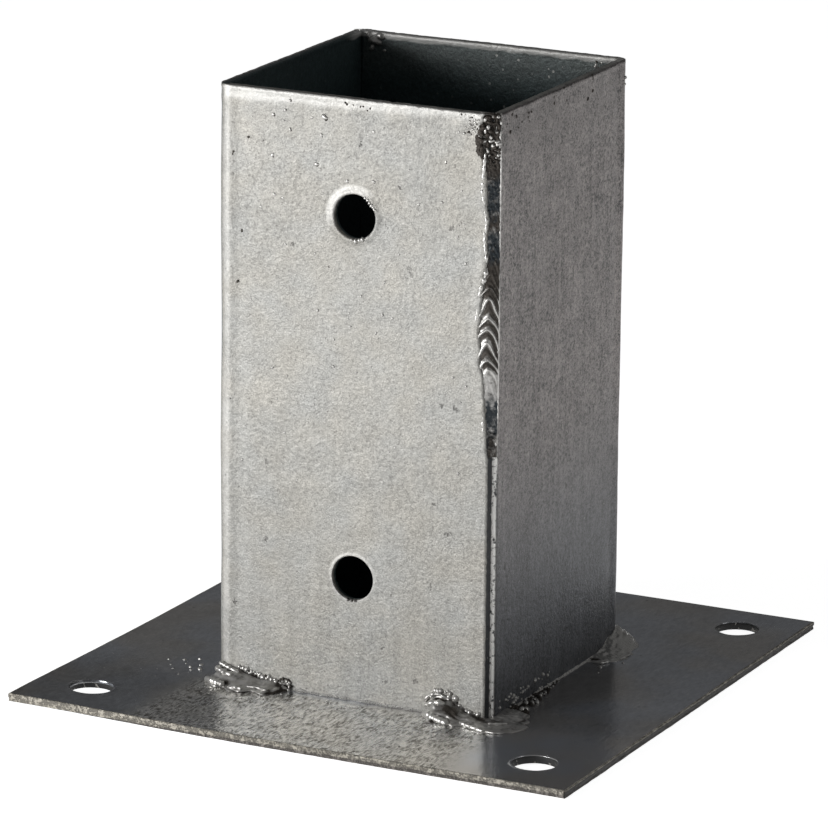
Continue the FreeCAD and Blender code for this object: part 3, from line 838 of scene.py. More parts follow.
# ------------------------------------------------------------------ the plate
def plate_skin(seed, warp):
    """The plate's place function: x, y and the top face's height less the depth.

    The sheet has long shallow waves beyond the sleeve and one corner turned up by the
    warp. The cut edge is smooth for half its depth and torn back below that.
    """
    def place(x, y, depth):
        flat = np.stack([x, y], -1)
        beyond = np.maximum(abs(x), abs(y))
        free = ease(beyond, [(44, 0), (75, 1)])
        corner = ease(-x - y, [(75, 0), (150, 1)])
        gap = PLATE_WIDE - beyond
        rim = np.clip(1 - gap / 0.45, 0, 1)
        torn = ease(depth, [(0.8, 0), (1.15, 1), (1.75, 1), (2.0, 0.5)])
        along = np.stack([x + y, x - y, 3 * depth], -1)
        back = rim * (torn * (0.14 + 0.11 * field(along, 1.1, seed + 1))
                      + 0.05 + 0.05 * field(flat, 9, seed + 2))
        x, y = (np.clip(line - back * np.sign(line) * (abs(line) > PLATE_WIDE - 0.5),
                        -PLATE_WIDE, PLATE_WIDE) for line in (x, y))
        z = THICK - depth + warp * corner + free * 0.06 * (1 + field(flat, 60, seed))
        return np.stack([x, y, np.maximum(z, 0)], -1)
    return place


class POSTBASE_OT_plate(bpy.types.Operator):
    """Cut the plate, with its anchor holes, sheared edge and turned-up corner"""

    bl_idname = "postbase.plate"
    bl_label = "Cut the plate"

    def execute(self, context):
        look = context.scene.post_base_look
        shell = Shell()
        edge, step, half = 0.25, 1.6, 8.0                 # half the square round an anchor hole
        pitch = ANCHOR_PITCH / 2
        lines = np.concatenate([[edge - PLATE_WIDE, edge - PLATE_WIDE + 0.4],
                                spread(step - PLATE_WIDE, -pitch - half, half - pitch,
                                       pitch - half, pitch + half, PLATE_WIDE - step, step=step),
                                [PLATE_WIDE - edge - 0.4, PLATE_WIDE - edge]])
        holes = []
        for number, (x, y) in enumerate([(-1, -1), (1, -1), (1, 1), (-1, 1)]):
            lip = lip_around([(0, 0.15), (3.0, 0.3), (6.3, 0.15)], look.hole_lip / MM, 50 + number)
            holes.append((x * pitch, y * pitch, half, hole_profile(ANCHOR_RADIUS, THICK, 1.0), lip))
        profile = [(0, 0), (0.1, 0.02), (0.18, 0.07), (0.23, 0.15)]
        profile += [(edge, depth) for depth in (0.3, 0.6, 0.9, 1.15, 1.4, 1.65, 1.85)]
        profile += [(0.2, 1.97), (0, 2.0)]
        sheet(shell, plate_skin(70, look.corner_lift / MM), lines, lines, THICK, profile, holes)
        shell.piece("plate", "plate_zinc", plate_zinc(look), "base_plate")
        return {"FINISHED"}


# ------------------------------------------------------------------ weld beads
def seam_surface(shell, seed, mirror, toe, crown, ripple, stain, tarnish, shine, rough,
                 pitch=3.5, crater=(71.6, 1.5, 0.42)):
    """A bead down the notch at a corner, from the rim to its crater, as a closed tube.

    At each height the section is the chord from the toe on the front wall to the corner
    of the right wall, pushed out by crown * 4v(1 - v). Ripples are waves whose crests
    rise to the middle, at height + climb * |2v - 1|, steeper on their lower sides, with
    finer ones between them. All the levels are eased stops by height, and the back of
    the tube lies inside the steel. The pitch is the ripples' own, the crater is (height,
    width, depth), and mirror is 1 at the front right and -1 at the back left.
    """
    rings, columns = 420, 33
    z, v = np.meshgrid(np.linspace(TOP - 0.15, SEAM_END, rings), np.linspace(0, 1, columns),
                       indexing="ij")
    lap = ease(z[:, :1], toe)
    wobble = 0.12 * np.minimum(lap, 1) * field(np.stack([z[:, :1], 0 * z[:, :1]], -1), 3.5, seed)
    start = np.stack([END - lap - wobble, 0.05 - OUT + 0 * lap, 0 * lap], -1)
    finish = np.stack([OUT + 0 * lap, -END + 0.1 + 0 * lap, 0 * lap], -1)
    arch = 4 * v * (1 - v)
    out = np.array([0.55, -0.84, 0])                      # away from the notch, seen from above
    climb = np.abs(2 * v - 1) ** 1.5 * 4.2
    lean = (z + climb + 1.1 * field(np.stack([z, 3 * v], -1), 8, seed + 1)) / pitch
    saw = lean - np.floor(lean)
    wave = np.where(saw < 0.4, saw / 0.4, (1 - saw) / 0.6) ** 1.8 - 0.35
    fine = 0.16 * np.cos(2 * np.pi * (2.0 * lean + 0.2))
    grain = field(np.stack([z, 4 * v], -1), 0.9, seed + 2)
    lift = ease(z, crown) * arch + (ease(z, ripple) * (wave + fine) * np.minimum(1, 2.6 * arch)
                                    + ease(z, rough) * grain * np.minimum(1, 3 * arch))
    where, width, dip = crater
    across = (v - 0.5) * 3.4
    away = np.hypot(z - where, across) / width
    bowl = np.exp(-away ** 4)
    lift = lift - dip * bowl + 0.5 * dip * bell(away, 1.25, 0.3) * np.minimum(1, 3 * arch)
    points = start * (1 - v)[..., None] + finish * v[..., None] + out * lift[..., None]
    points[..., 2] = z
    tones = np.stack([ease(z, stain), ease(z, tarnish), ease(z, shine)], -1)
    edge = bell(v, 0, 0.13) + 0.8 * bell(1 - v, 0, 0.05)
    blotch = np.clip(0.75 + 0.6 * field(np.stack([z, 2 * v], -1), 2.2, seed + 5), 0, 1) * edge
    tones[..., :2] *= (1 - np.clip(blotch, 0, 1))[..., None]
    tones[..., 2] = np.maximum(tones[..., 2], blotch)
    # Painted shade: the dark stain colour fills the ripples' hollows, more towards the right side,
    # and the crater's bowl.
    hollow = np.clip(0.3 - wave, 0, 1) * ease(z, ripple) * (0.5 + 1.6 * v)
    tones[..., 0] = np.maximum(tones[..., 0] + 1.8 * hollow, bowl)
    inside = np.array([[END + 0.35, -END - 0.42, 0], [END - 3.4, -END - 0.7, 0]])
    buried = np.broadcast_to(inside, (rings, 2, 3)).copy()
    buried[..., 2] = z[:, :2]
    points = np.concatenate([points, buried, points[:, :1]], axis=1)
    tones = np.concatenate([tones, tones[:, :2], tones[:, :1]], axis=1)
    points[..., :2] *= mirror
    shell.tube(points, tones)


# The seams' beads: piece, node it stands for, levels by height, rolled lips and their seed.
SEAM_BEADS = (
    ("seam_bead_front", "seam_weld_front_right", dict(
        seed=3, mirror=1,
        toe=FRONT_TOE,
        crown=[(SEAM_END, 0), (76, 0), (84, 0.3), (92, 0.6), (106, 0.6), (112, 0.45), (117, 0.25),
            (122, 0.22), (126, 0.1), (130, 0.2), (137, 0.25), (142, 0.15), (149, 0.2), (152, 0)],
        ripple=[(SEAM_END, 0.02), (78, 0.04), (88, 0.15), (91, 0.62), (107, 0.6), (112, 0.45),
            (117, 0.2), (124, 0.1), (136, 0.08), (141, 0.05), (152, 0.05)],
        stain=[(SEAM_END, 0.7), (74, 0.45), (76, 0.35), (82, 0.15), (104, 0.1), (108, 0.6),
            (115, 1), (117, 0.8), (122, 0.3), (125, 0.8), (128, 0.5), (135, 0.5), (137, 1),
            (150, 1), (152, 0.7)],
        tarnish=[(SEAM_END, 0.1), (72.5, 0.3), (76, 1.1), (79.5, 1.1), (85, 0), (113, 0),
            (118, 1.1), (121.5, 0.9), (124, 0.3), (126.5, 0.5), (129, 1.1), (133, 1), (140, 0),
            (152, 0)],
        shine=[(SEAM_END, 0.2), (84, 0.4), (90, 0.8), (106, 0.8), (109, 0.3), (152, 0)],
        rough=[(SEAM_END, 0.1), (80, 0.03), (90, 0.03), (112, 0.06), (137, 0.08), (141, 0.45),
            (150, 0.5), (152, 0.3)],
    ), [
        (0.42, LIP, [(34.3, -37.4, 142.5), (33.9, -37.4, 137), (33.6, -37.4, 132.6),
            (34.4, -37.4, 129.5)]),
        (0.36, LIP, [(34.2, -37.4, 128.8), (34.9, -37.4, 126), (34.6, -37.4, 122.6)]),
        (0.4, LIP, [(34.3, -37.4, 123.6), (34.5, -37.4, 119.6), (35.1, -37.4, 115.6)]),
        (0.5, LIP, [(35.1, -37.3, 114.8), (34.5, -37.4, 111.8), (33.4, -37.4, 109),
            (33.1, -37.4, 107)]),
        (0.3, LIP, [(33, -37.4, 106), (32.4, -37.4, 102), (32.6, -37.4, 97.5)]),
        (0.4, LIP, [(34.6, -37.3, 78.5), (34.4, -37.3, 75.5), (34.9, -37.2, 73.2)]),
        (0.2, THIN, [(37.4, -35.3, 144), (37.5, -35.4, 138), (37.4, -35.3, 128),
            (37.5, -35.4, 118)]),
        (0.18, THIN, [(37.45, -35.3, 112), (37.5, -35.4, 100), (37.45, -35.3, 88),
            (37.5, -35.4, 76)]),
    ], 4),
    ("seam_bead_back", "seam_weld_back_left", dict(
        seed=8, mirror=-1,
        toe=BACK_TOE,
        crown=[(SEAM_END, 0.05), (78, 0.4), (110, 0.6), (130, 0.3), (152, 0.1)],
        ripple=[(SEAM_END, 0.05), (80, 0.3), (130, 0.35), (145, 0.2), (152, 0.05)],
        stain=[(SEAM_END, 0.6), (76, 0.2), (140, 0.2), (152, 0.6)],
        tarnish=[(SEAM_END, 0), (90, 0), (94, 0.6), (100, 0), (152, 0)],
        shine=[(SEAM_END, 0.2), (90, 0.8), (130, 0.6), (152, 0.1)],
        rough=[(SEAM_END, 0.08), (140, 0.06), (152, 0.25)],
    ), [], 0),
)


def weld(surface, beads, zinc):
    """Makes the beads of a table, each in place of its node."""
    for name, node, levels, lips, seed in beads:
        shell = Shell()
        surface(shell, **levels)
        rolls(shell, lips, seed)
        shell.piece(name, "weld_zinc", zinc, node)


class POSTBASE_OT_seam_beads(bpy.types.Operator):
    """Run the two weld beads down the open corners, from the rim to their craters"""

    bl_idname = "postbase.seam_beads"
    bl_label = "Weld the seams"

    def execute(self, context):
        weld(seam_surface, SEAM_BEADS, weld_zinc(context.scene.post_base_look))
        return {"FINISHED"}


def corner_path(x, y, radius, before, after):
    """Points along a sleeve corner's foot from before it to after it, and the way out.

    The foot line is straight, a quarter circle and straight, anticlockwise seen from
    above: the same centre + normal radius + tangent rule as the fold, turned to the corner.
    """
    arc = radius * np.pi / 2
    s = np.linspace(-before, after + arc, 150)
    turn = np.clip(s / max(radius, 1e-6), 0, np.pi / 2)
    left = np.where(s < 0, s, np.maximum(s - arc, 0))
    heading = {(-1, -1): np.pi, (1, -1): -np.pi / 2, (1, 1): 0.0, (-1, 1): np.pi / 2}[(x, y)]
    angle = heading + turn
    normal = np.stack([np.cos(angle), np.sin(angle), 0 * s], -1)
    tangent = np.stack([-np.sin(angle), np.cos(angle), 0 * s], -1)
    centre = np.array([x * (OUT - radius), y * (OUT - radius), FLOOR])
    return s, centre + normal * radius + tangent * left[:, None], normal


def foot_surface(shell, corner, seed, bright=(), darkened=(), **levels):
    """A bead along a sleeve's foot as a closed tube with pointed ends.

    The section is a quarter curve from the plate to the wall, out = reach cos^b(a) and
    up = height sin^b(a), where b is the bulge. Streaks run along it as waves across a, and
    all the levels are eased stops along the path. Bright folds stand out, with a lighter,
    shinier colour painted on them as painted highlights, and darkened ones sink in with a
    darker colour, each a bell round a place and an angle: (s, its width, a, its width,
    strength). The back of the tube lies inside the steel.
    """
    s, foot, normal = corner_path(*corner)
    a = np.linspace(0, np.pi / 2, 25)
    stations, a = np.meshgrid(s, a, indexing="ij")
    level = {name: ease(stations, stops) for name, stops in levels.items()}
    low, high = s[0], s[-1]
    end = np.sqrt(np.clip(1 - ((stations - (low + high) / 2) / ((high - low) / 2)) ** 8, 0, 1))
    wander = 1 + 0.12 * field(np.stack([stations, 0 * stations], -1), 6, seed)
    plate_wander = 1 + 0.15 * field(np.stack([stations, 0 * stations + 5], -1), 4, seed + 9)
    edge = np.minimum(1, 4 * np.sin(2 * a))
    grain = field(np.stack([stations, 5 * a], -1), 1.3, seed + 1)
    flow = field(np.stack([stations * 0.28, 7.5 * a], -1), 1.6, seed + 2)
    light, dark = (sum((strength * np.exp(-((stations - along) / length) ** 2
                                          - ((a - turn) / width) ** 2)
                        for along, length, turn, width, strength in spots), 0 * a)
                   for spots in (bright, darkened))
    lift = edge * (level["streaks"] * flow + level["rough"] * grain + 0.4 * light - 0.35 * dark)
    out = end * (level["reach"] * plate_wander * np.cos(a) ** level["bulge"] + lift * np.cos(a))
    up = end * (level["height"] * wander * np.sin(a) ** level["bulge"] + lift * np.sin(a))
    out = np.where(a < 1e-9, end * level["reach"] * plate_wander, out)
    points = (foot[:, None] + normal[:, None] * out[..., None]
              + np.array(UP) * up[..., None])
    # Bright folds get a lighter, shinier colour as painted highlights; darkened ones a darker
    # colour.
    tones = np.stack([level["stain"] * (1 - np.clip(light, 0, 1)) + 1.2 * dark, level["tarnish"],
                      level["shine"] + light - dark], -1)
    buried = foot[:, None] - normal[:, None] * 0.7 * end[:, :1, None]
    down = np.array([0, 0, 0.5])
    under = points[:, :1] - down
    under[..., :2] = (foot[:, None] + normal[:, None] * (out[:, :1] - 0.3)[..., None])[..., :2]
    top = points[:, -1:] - normal[:, None] * 0.5 * end[:, -1:, None]
    back = buried - down
    points = np.concatenate([points, top, back, under, points[:, :1]], axis=1)
    tones = np.concatenate([tones, np.repeat(tones[:, -1:], 3, 1), tones[:, :1]], axis=1)
    shell.tube(points, tones)


def foot_run(shell, size, seed):
    """The thin run of zinc in the angle between sleeve and plate, as a closed ring.

    The ring follows a square with rounded corners, r(turn) being the sleeve's half width;
    its section is a hollow quarter of the size, made uneven by a field along the way.
    """
    side = OUT - BEND
    step = np.linspace(-side, side, 90)
    arc = np.linspace(0, np.pi / 2, 10)[1:-1]
    rows = []
    for quarter in range(4):
        turn = quarter * np.pi / 2
        normal = np.array([[np.sin(turn), -np.cos(turn)]])
        tangent = np.array([[np.cos(turn), np.sin(turn)]])
        rows.append(np.concatenate([normal * OUT + tangent * step[:, None],
                                    normal + 0 * step[:, None]], 1))
        bend = turn + arc
        outward = np.stack([np.sin(bend), -np.cos(bend)], -1)
        rows.append(np.concatenate([(normal + tangent) * side + outward * BEND, outward], 1))
    path = np.concatenate(rows + [rows[0][:1]])
    centre, outward = path[:, None, :2], path[:, None, 2:]
    thick = size * (1 + 0.45 * field(path[:, :2], 4.0, seed)
                    + 0.25 * field(path[:, :2], 1.3, seed + 1))[:, None]
    reach = np.array([-0.4, -0.4, 1.0, 1.0, 0.5, 0.2, 0.1, -0.4]) * thick
    rise = np.array([1.0, -0.4, -0.4, 0.1, 0.2, 0.5, 1.0, 1.0]) * thick
    points = np.concatenate([centre + outward * reach[..., None], FLOOR + rise[..., None]], -1)
    shell.patch(points, tones=np.broadcast_to(np.array([-0.4, -0.2, 1.4]), points.shape))


# The feet's beads: piece, node it stands for, levels along the way, rolled lips and their seed.
FOOT_BEADS = (
    ("foot_bead_front_left", "foot_weld_front_left", dict(
        corner=(-1, -1, BEND, 1.0, 17.2), seed=101,
        height=[(-1, 0.5), (0, 0.9), (2.7, 2.7), (3.9, 4.3), (5.5, 4), (8.4, 3.4), (11.4, 2.5),
            (17, 1.9), (21, 1.5), (23, 1)],
        reach=[(-1, 0.8), (0, 1.2), (2.9, 3.4), (3.9, 5), (5.5, 6.4), (8.8, 7.4), (15.4, 7.4),
            (20.5, 6.4), (22, 4), (23, 2.6)],
        bulge=[(-1, 1.8), (5, 2.2), (9, 1.9), (14, 1.6), (23, 1.6)],
        streaks=[(-1, 0.2), (3, 0.45), (8, 0.35), (16, 0.22), (23, 0.12)],
        rough=[(-1, 0.03), (14, 0.03), (18, 0.14), (23, 0.4)],
        stain=[(-1, 0.2), (6, 0.25), (12, 0.3), (18.5, 0.35), (21.5, 0.6), (23, 0.8)],
        tarnish=[(-1, 0), (23, 0)],
        shine=[(-1, 0.6), (6, 0.6), (9, 0.35), (23, 0.3)],
        bright=[(11, 3, 0.45, 0.12, 0.7), (16, 2, 0.3, 0.1, 0.6), (17.5, 1.2, 0.7, 0.2, 0.5),
            (20.4, 0.5, 0.75, 0.14, 1), (21.8, 0.5, 0.9, 0.2, 0.9)],
        darkened=[(4.6, 2.4, 0.02, 0.06, 1), (6.6, 3.2, 1.2, 0.06, 0.8), (12.5, 4, 1.4, 0.1, 0.6),
            (14, 3, 0.08, 0.07, 0.6), (7.5, 1.3, 0.5, 0.12, 0.5), (20.2, 0.7, 1.2, 0.2, 1),
            (21.4, 0.6, 0.6, 0.2, 1), (19.6, 0.7, 0.35, 0.12, 0.8)],
    ), [
        (0.55, LIP, [(-36.6, -37.6, 6.3), (-35.6, -38.2, 6.2), (-33.5, -38.3, 5.5),
            (-31.4, -38.3, 4.8), (-30.2, -38.2, 4.4)]),
        (0.7, LIP, [(-37, -38, 5), (-35.8, -39.3, 5), (-34.2, -39.6, 4.6), (-31.6, -39.7, 4.1)]),
        (0.85, LIP, [(-38.9, -40, 2.3), (-37.4, -41.4, 2.7), (-34.6, -42.6, 2.8),
            (-32.2, -43.2, 2.6)]),
        (0.45, DULL, [(-29.6, -44.6, 2.8), (-28.2, -44.7, 3), (-26.4, -44.6, 2.8)]),
        (0.3, DULL, [(-26, -43.6, 3.3), (-23, -43.2, 3.3), (-20.4, -43.2, 2.9)]),
    ], 5),
    ("foot_bead_front_right", "foot_weld_front_right", dict(
        corner=(1, -1, 0.6, 17.4, 11.5), seed=113,
        height=[(-18, 2.2), (-15.6, 3.8), (-13.8, 5.3), (-10.2, 4.7), (-8.1, 3.2), (-4.8, 1.7),
            (-1.6, 1), (1, 0.8), (4, 0.9), (8, 1.2), (12.5, 0.7)],
        reach=[(-18, 3), (-14.6, 5.8), (-11.8, 6.7), (-8.4, 6.7), (-5.3, 5.9), (-2, 6.2), (0, 7.6),
            (1, 8.6), (3, 8), (6, 7.6), (9, 6), (12.5, 2.6)],
        bulge=[(-18, 1.3), (-16, 1.65), (-10, 1.65), (-7, 1.4), (0, 1.2), (12, 1.2)],
        streaks=[(-18, 0.5), (-13, 0.6), (-8, 0.45), (-3, 0.22), (3, 0.15), (12, 0.2)],
        rough=[(-18, 0.02), (-3, 0.03), (3, 0.1), (12, 0.16)],
        stain=[(-19, 0.1), (-10, 0.15), (-8, 0.5), (-4, 0.3), (12, 0.2)],
        tarnish=[(-19, 0), (12, 0)],
        shine=[(-19, 0.6), (-10, 0.5), (-5, 0.5), (0, 0.45), (12, 0.5)],
        bright=[(-14.8, 2, 0.85, 0.16, 1.3), (-14.3, 1.9, 0.22, 0.18, 1.5),
            (-6.6, 3.2, 0.14, 0.1, 1.4), (-13.5, 4, 1.47, 0.08, 0.9), (3.5, 5, 0.12, 0.12, 0.8),
            (5, 2.5, 0.8, 0.2, 0.5)],
        darkened=[(-12.4, 3, 1.25, 0.1, 0.9), (-10.6, 2.2, 0.2, 0.13, 1.2),
            (-9.4, 2.6, 0.85, 0.2, 0.7), (-2, 3, 1.3, 0.2, 0.6), (4.5, 2, 0.5, 0.12, 0.4)],
    ), [
        (0.4, DULL, [(20, -37.9, 4), (20.5, -37.9, 6), (22, -37.9, 7), (24, -37.9, 7.3),
            (26.3, -37.9, 6.4), (28.8, -37.9, 4.7)]),
        (0.65, LIP, [(21.2, -40, 4.6), (22.8, -40.3, 5.6), (24.6, -40.2, 6), (26.6, -39.9, 5.7)]),
        (0.9, LIP, [(22.6, -41.8, 3.3), (24.6, -43.1, 3.1), (27, -43.7, 2.7), (29.6, -43.9, 2.3)]),
        (0.42, LIP, [(31.4, -42.4, 2.7), (33, -43.1, 2.6), (36, -44.2, 2.5), (39.4, -45.1, 2.3)]),
        (0.25, DULL, [(39.6, -45, 2.3), (42, -45.2, 2.3), (44.3, -44.2, 2.3)]),
        (0.3, DULL, [(38.6, -41.2, 3), (41, -40, 2.9), (42.5, -38, 2.7)]),
    ], 6),
    ("foot_bead_back_right", "foot_weld_back_right", dict(
        corner=(1, 1, BEND, 17.0, 5.0), seed=127,
        height=[(-17, 0.3), (-12, 0.6), (-8, 1.1), (-2.4, 2.7), (2.7, 4.7), (5, 4.4), (10.5, 2)],
        reach=[(-17, 2.4), (-13.5, 6.4), (-8.5, 7.7), (-1, 6.4), (3, 5.8), (5, 5.6), (10.5, 2.8)],
        bulge=[(-17, 1.3), (-8, 1.8), (10.5, 1.8)],
        streaks=[(-17, 0.15), (0, 0.3), (10.5, 0.25)],
        rough=[(-17, 0.12), (0, 0.12), (10.5, 0.1)],
        stain=[(-17, -0.2), (-8, -0.5), (10.5, -0.2)],
        tarnish=[(-17, -0.4), (10.5, -0.4)],
        shine=[(-17, 1.3), (10.5, 1.4)],
        darkened=[(-14.5, 1.3, 1.2, 0.4, 1.2), (-6, 1, 0.3, 0.3, 0.7), (0.5, 1.5, 0.9, 0.15, 0.7)],
    ), [
        (0.32, LIP, [(38.8, 17.8, 2.1), (40.4, 17, 2.2), (42, 17.3, 2.3), (43.2, 19.6, 2.3)]),
        (0.28, LIP, [(44.4, 22.4, 2.2), (45, 25.6, 2.3), (44.8, 29, 2.2)]),
    ], 7),
    ("foot_bead_back_left", "foot_weld_back_left", dict(
        corner=(-1, 1, 0.6, 19.0, 11.0), seed=139,
        height=[(-19, 2.4), (-15, 4.2), (-6, 3.2), (0, 2.6), (12, 1.6)],
        reach=[(-19, 2.8), (-15, 6.8), (-2, 6.2), (2, 7), (8, 6.2), (12, 2)],
        bulge=[(-19, 1.25), (12, 1.25)],
        streaks=[(-19, 0.3), (12, 0.3)],
        rough=[(-19, 0.08), (12, 0.12)],
        stain=[(-19, 0.2), (12, 0.2)],
        tarnish=[(-19, 0), (12, 0)],
        shine=[(-19, 0.6), (12, 0.4)],
    ), [], 0),
)


class POSTBASE_OT_foot_beads(bpy.types.Operator):
    """Lay the weld beads round the feet of the sleeve's corners, and the thin run between"""

    bl_idname = "postbase.foot_beads"
    bl_label = "Weld the feet"

    def execute(self, context):
        zinc = weld_zinc(context.scene.post_base_look)
        weld(foot_surface, FOOT_BEADS, zinc)
        shell = Shell()
        foot_run(shell, 0.42, 151)
        shell.piece("foot_run", "weld_zinc", zinc)
        return {"FINISHED"}


# Drops that have places of their own. On the front wall, by x, z and size:
PIMPLES = [
    (-8.2, 146.5, 0.75), (-9, 142, 0.45), (-17.5, 142.5, 0.4), (-10.3, 134.8, 0.55),
    (-22.2, 135.7, 0.5), (-2.1, 131.5, 0.5), (5, 132.2, 0.5), (-21.7, 126.2, 0.5),
    (-19.4, 125.5, 0.35), (-22, 145.7, 0.4), (4.9, 144.3, 0.45), (-25.3, 122.7, 0.35),
    (-17.5, 149.6, 0.35), (24, 139, 0.35), (17, 128, 0.35),
]
# Dark spots on the same wall, by x and z:
DARK_SPOTS = [
    (-28.7, 139.4), (-32.8, 135.4), (-33, 134.8), (-33, 126.1), (-31.7, 103.4), (-30.5, 116.1),
]
# The lump in the back left corner, inside the rim, by centre, width and height:
CORNER_LUMP = [
    ((-31.7, END - 0.1, 149.5), 1.5, 1.1),
    ((-30.2, END, 150.8), 1.1, 0.8),
    ((-32.6, END, 147.6), 0.8, 0.7),
    ((-33.2, END, 150.6), 1, 0.9),
    ((-29, END, 147.2), 0.45, 0.5),
]
# On the plate, by x, y and size:
PLATE_SPATTER = [
    (-47.3, -32.9, 0.5), (-51.2, -28.5, 0.45), (-49.5, -31, 0.3), (-46, -35, 0.35),
    (-44.3, -33.4, 0.7), (-52.5, -33.5, 0.3), (-55, -30, 0.35), (-48.3, -26.2, 0.4),
    (-45.6, -30.2, 0.5), (-50.4, -36.2, 0.3), (-53.6, -38.4, 0.25), (-57, -40.5, 0.3),
    (-47, -39.5, 0.3), (42.5, 14.7, 0.6), (44, 10.5, 0.3), (46.2, 20.5, 0.35),
]
# The upper toes of the two front welds, by x and z. The left one is eased between stops.
LEFT_TOE = [(-31, 5.7), (-28, 4.9), (-22.5, 4), (-18.5, 2.9)]
RIGHT_TOE = [
    (21.6, 6.6), (22.2, 7.3), (22.8, 8), (23.6, 8.2), (24.2, 7.7), (24.8, 8.3), (25.4, 7.8),
    (26.1, 8.1), (26.7, 7.5), (27.3, 7.6), (26.4, 7), (27.6, 6.8), (28.3, 6.4), (28.6, 5.7),
    (29.3, 5.3), (31.4, 4.3), (32, 4), (32.7, 3.9), (33.4, 3.4), (34.2, 3.6),
]


def on_front(x, z, out=0.0):
    """Points on the front wall, or so far out from it."""
    return np.stack([x, 0 * x - OUT - out, z], -1)


def on_right(y, z):
    """Points on the right wall."""
    return np.stack([0 * y + OUT, y, z], -1)


def on_plate(x, y):
    """Points on the plate's upper face."""
    return np.stack([x, y, 0 * x + THICK], -1)


def two_tone(shell, clean, tones, centres, normals, widths, heights, seed, columns=9):
    """Domes with these tones where clean is true, and stained ones where it isn't."""
    normals = np.broadcast_to(np.array(normals, float), centres.shape)
    for part, look in ((clean, tones), (~clean, STAIN_AND_SHADOW)):
        domes(shell, centres[part], normals[part], widths[part], heights[part], seed, look,
              columns)


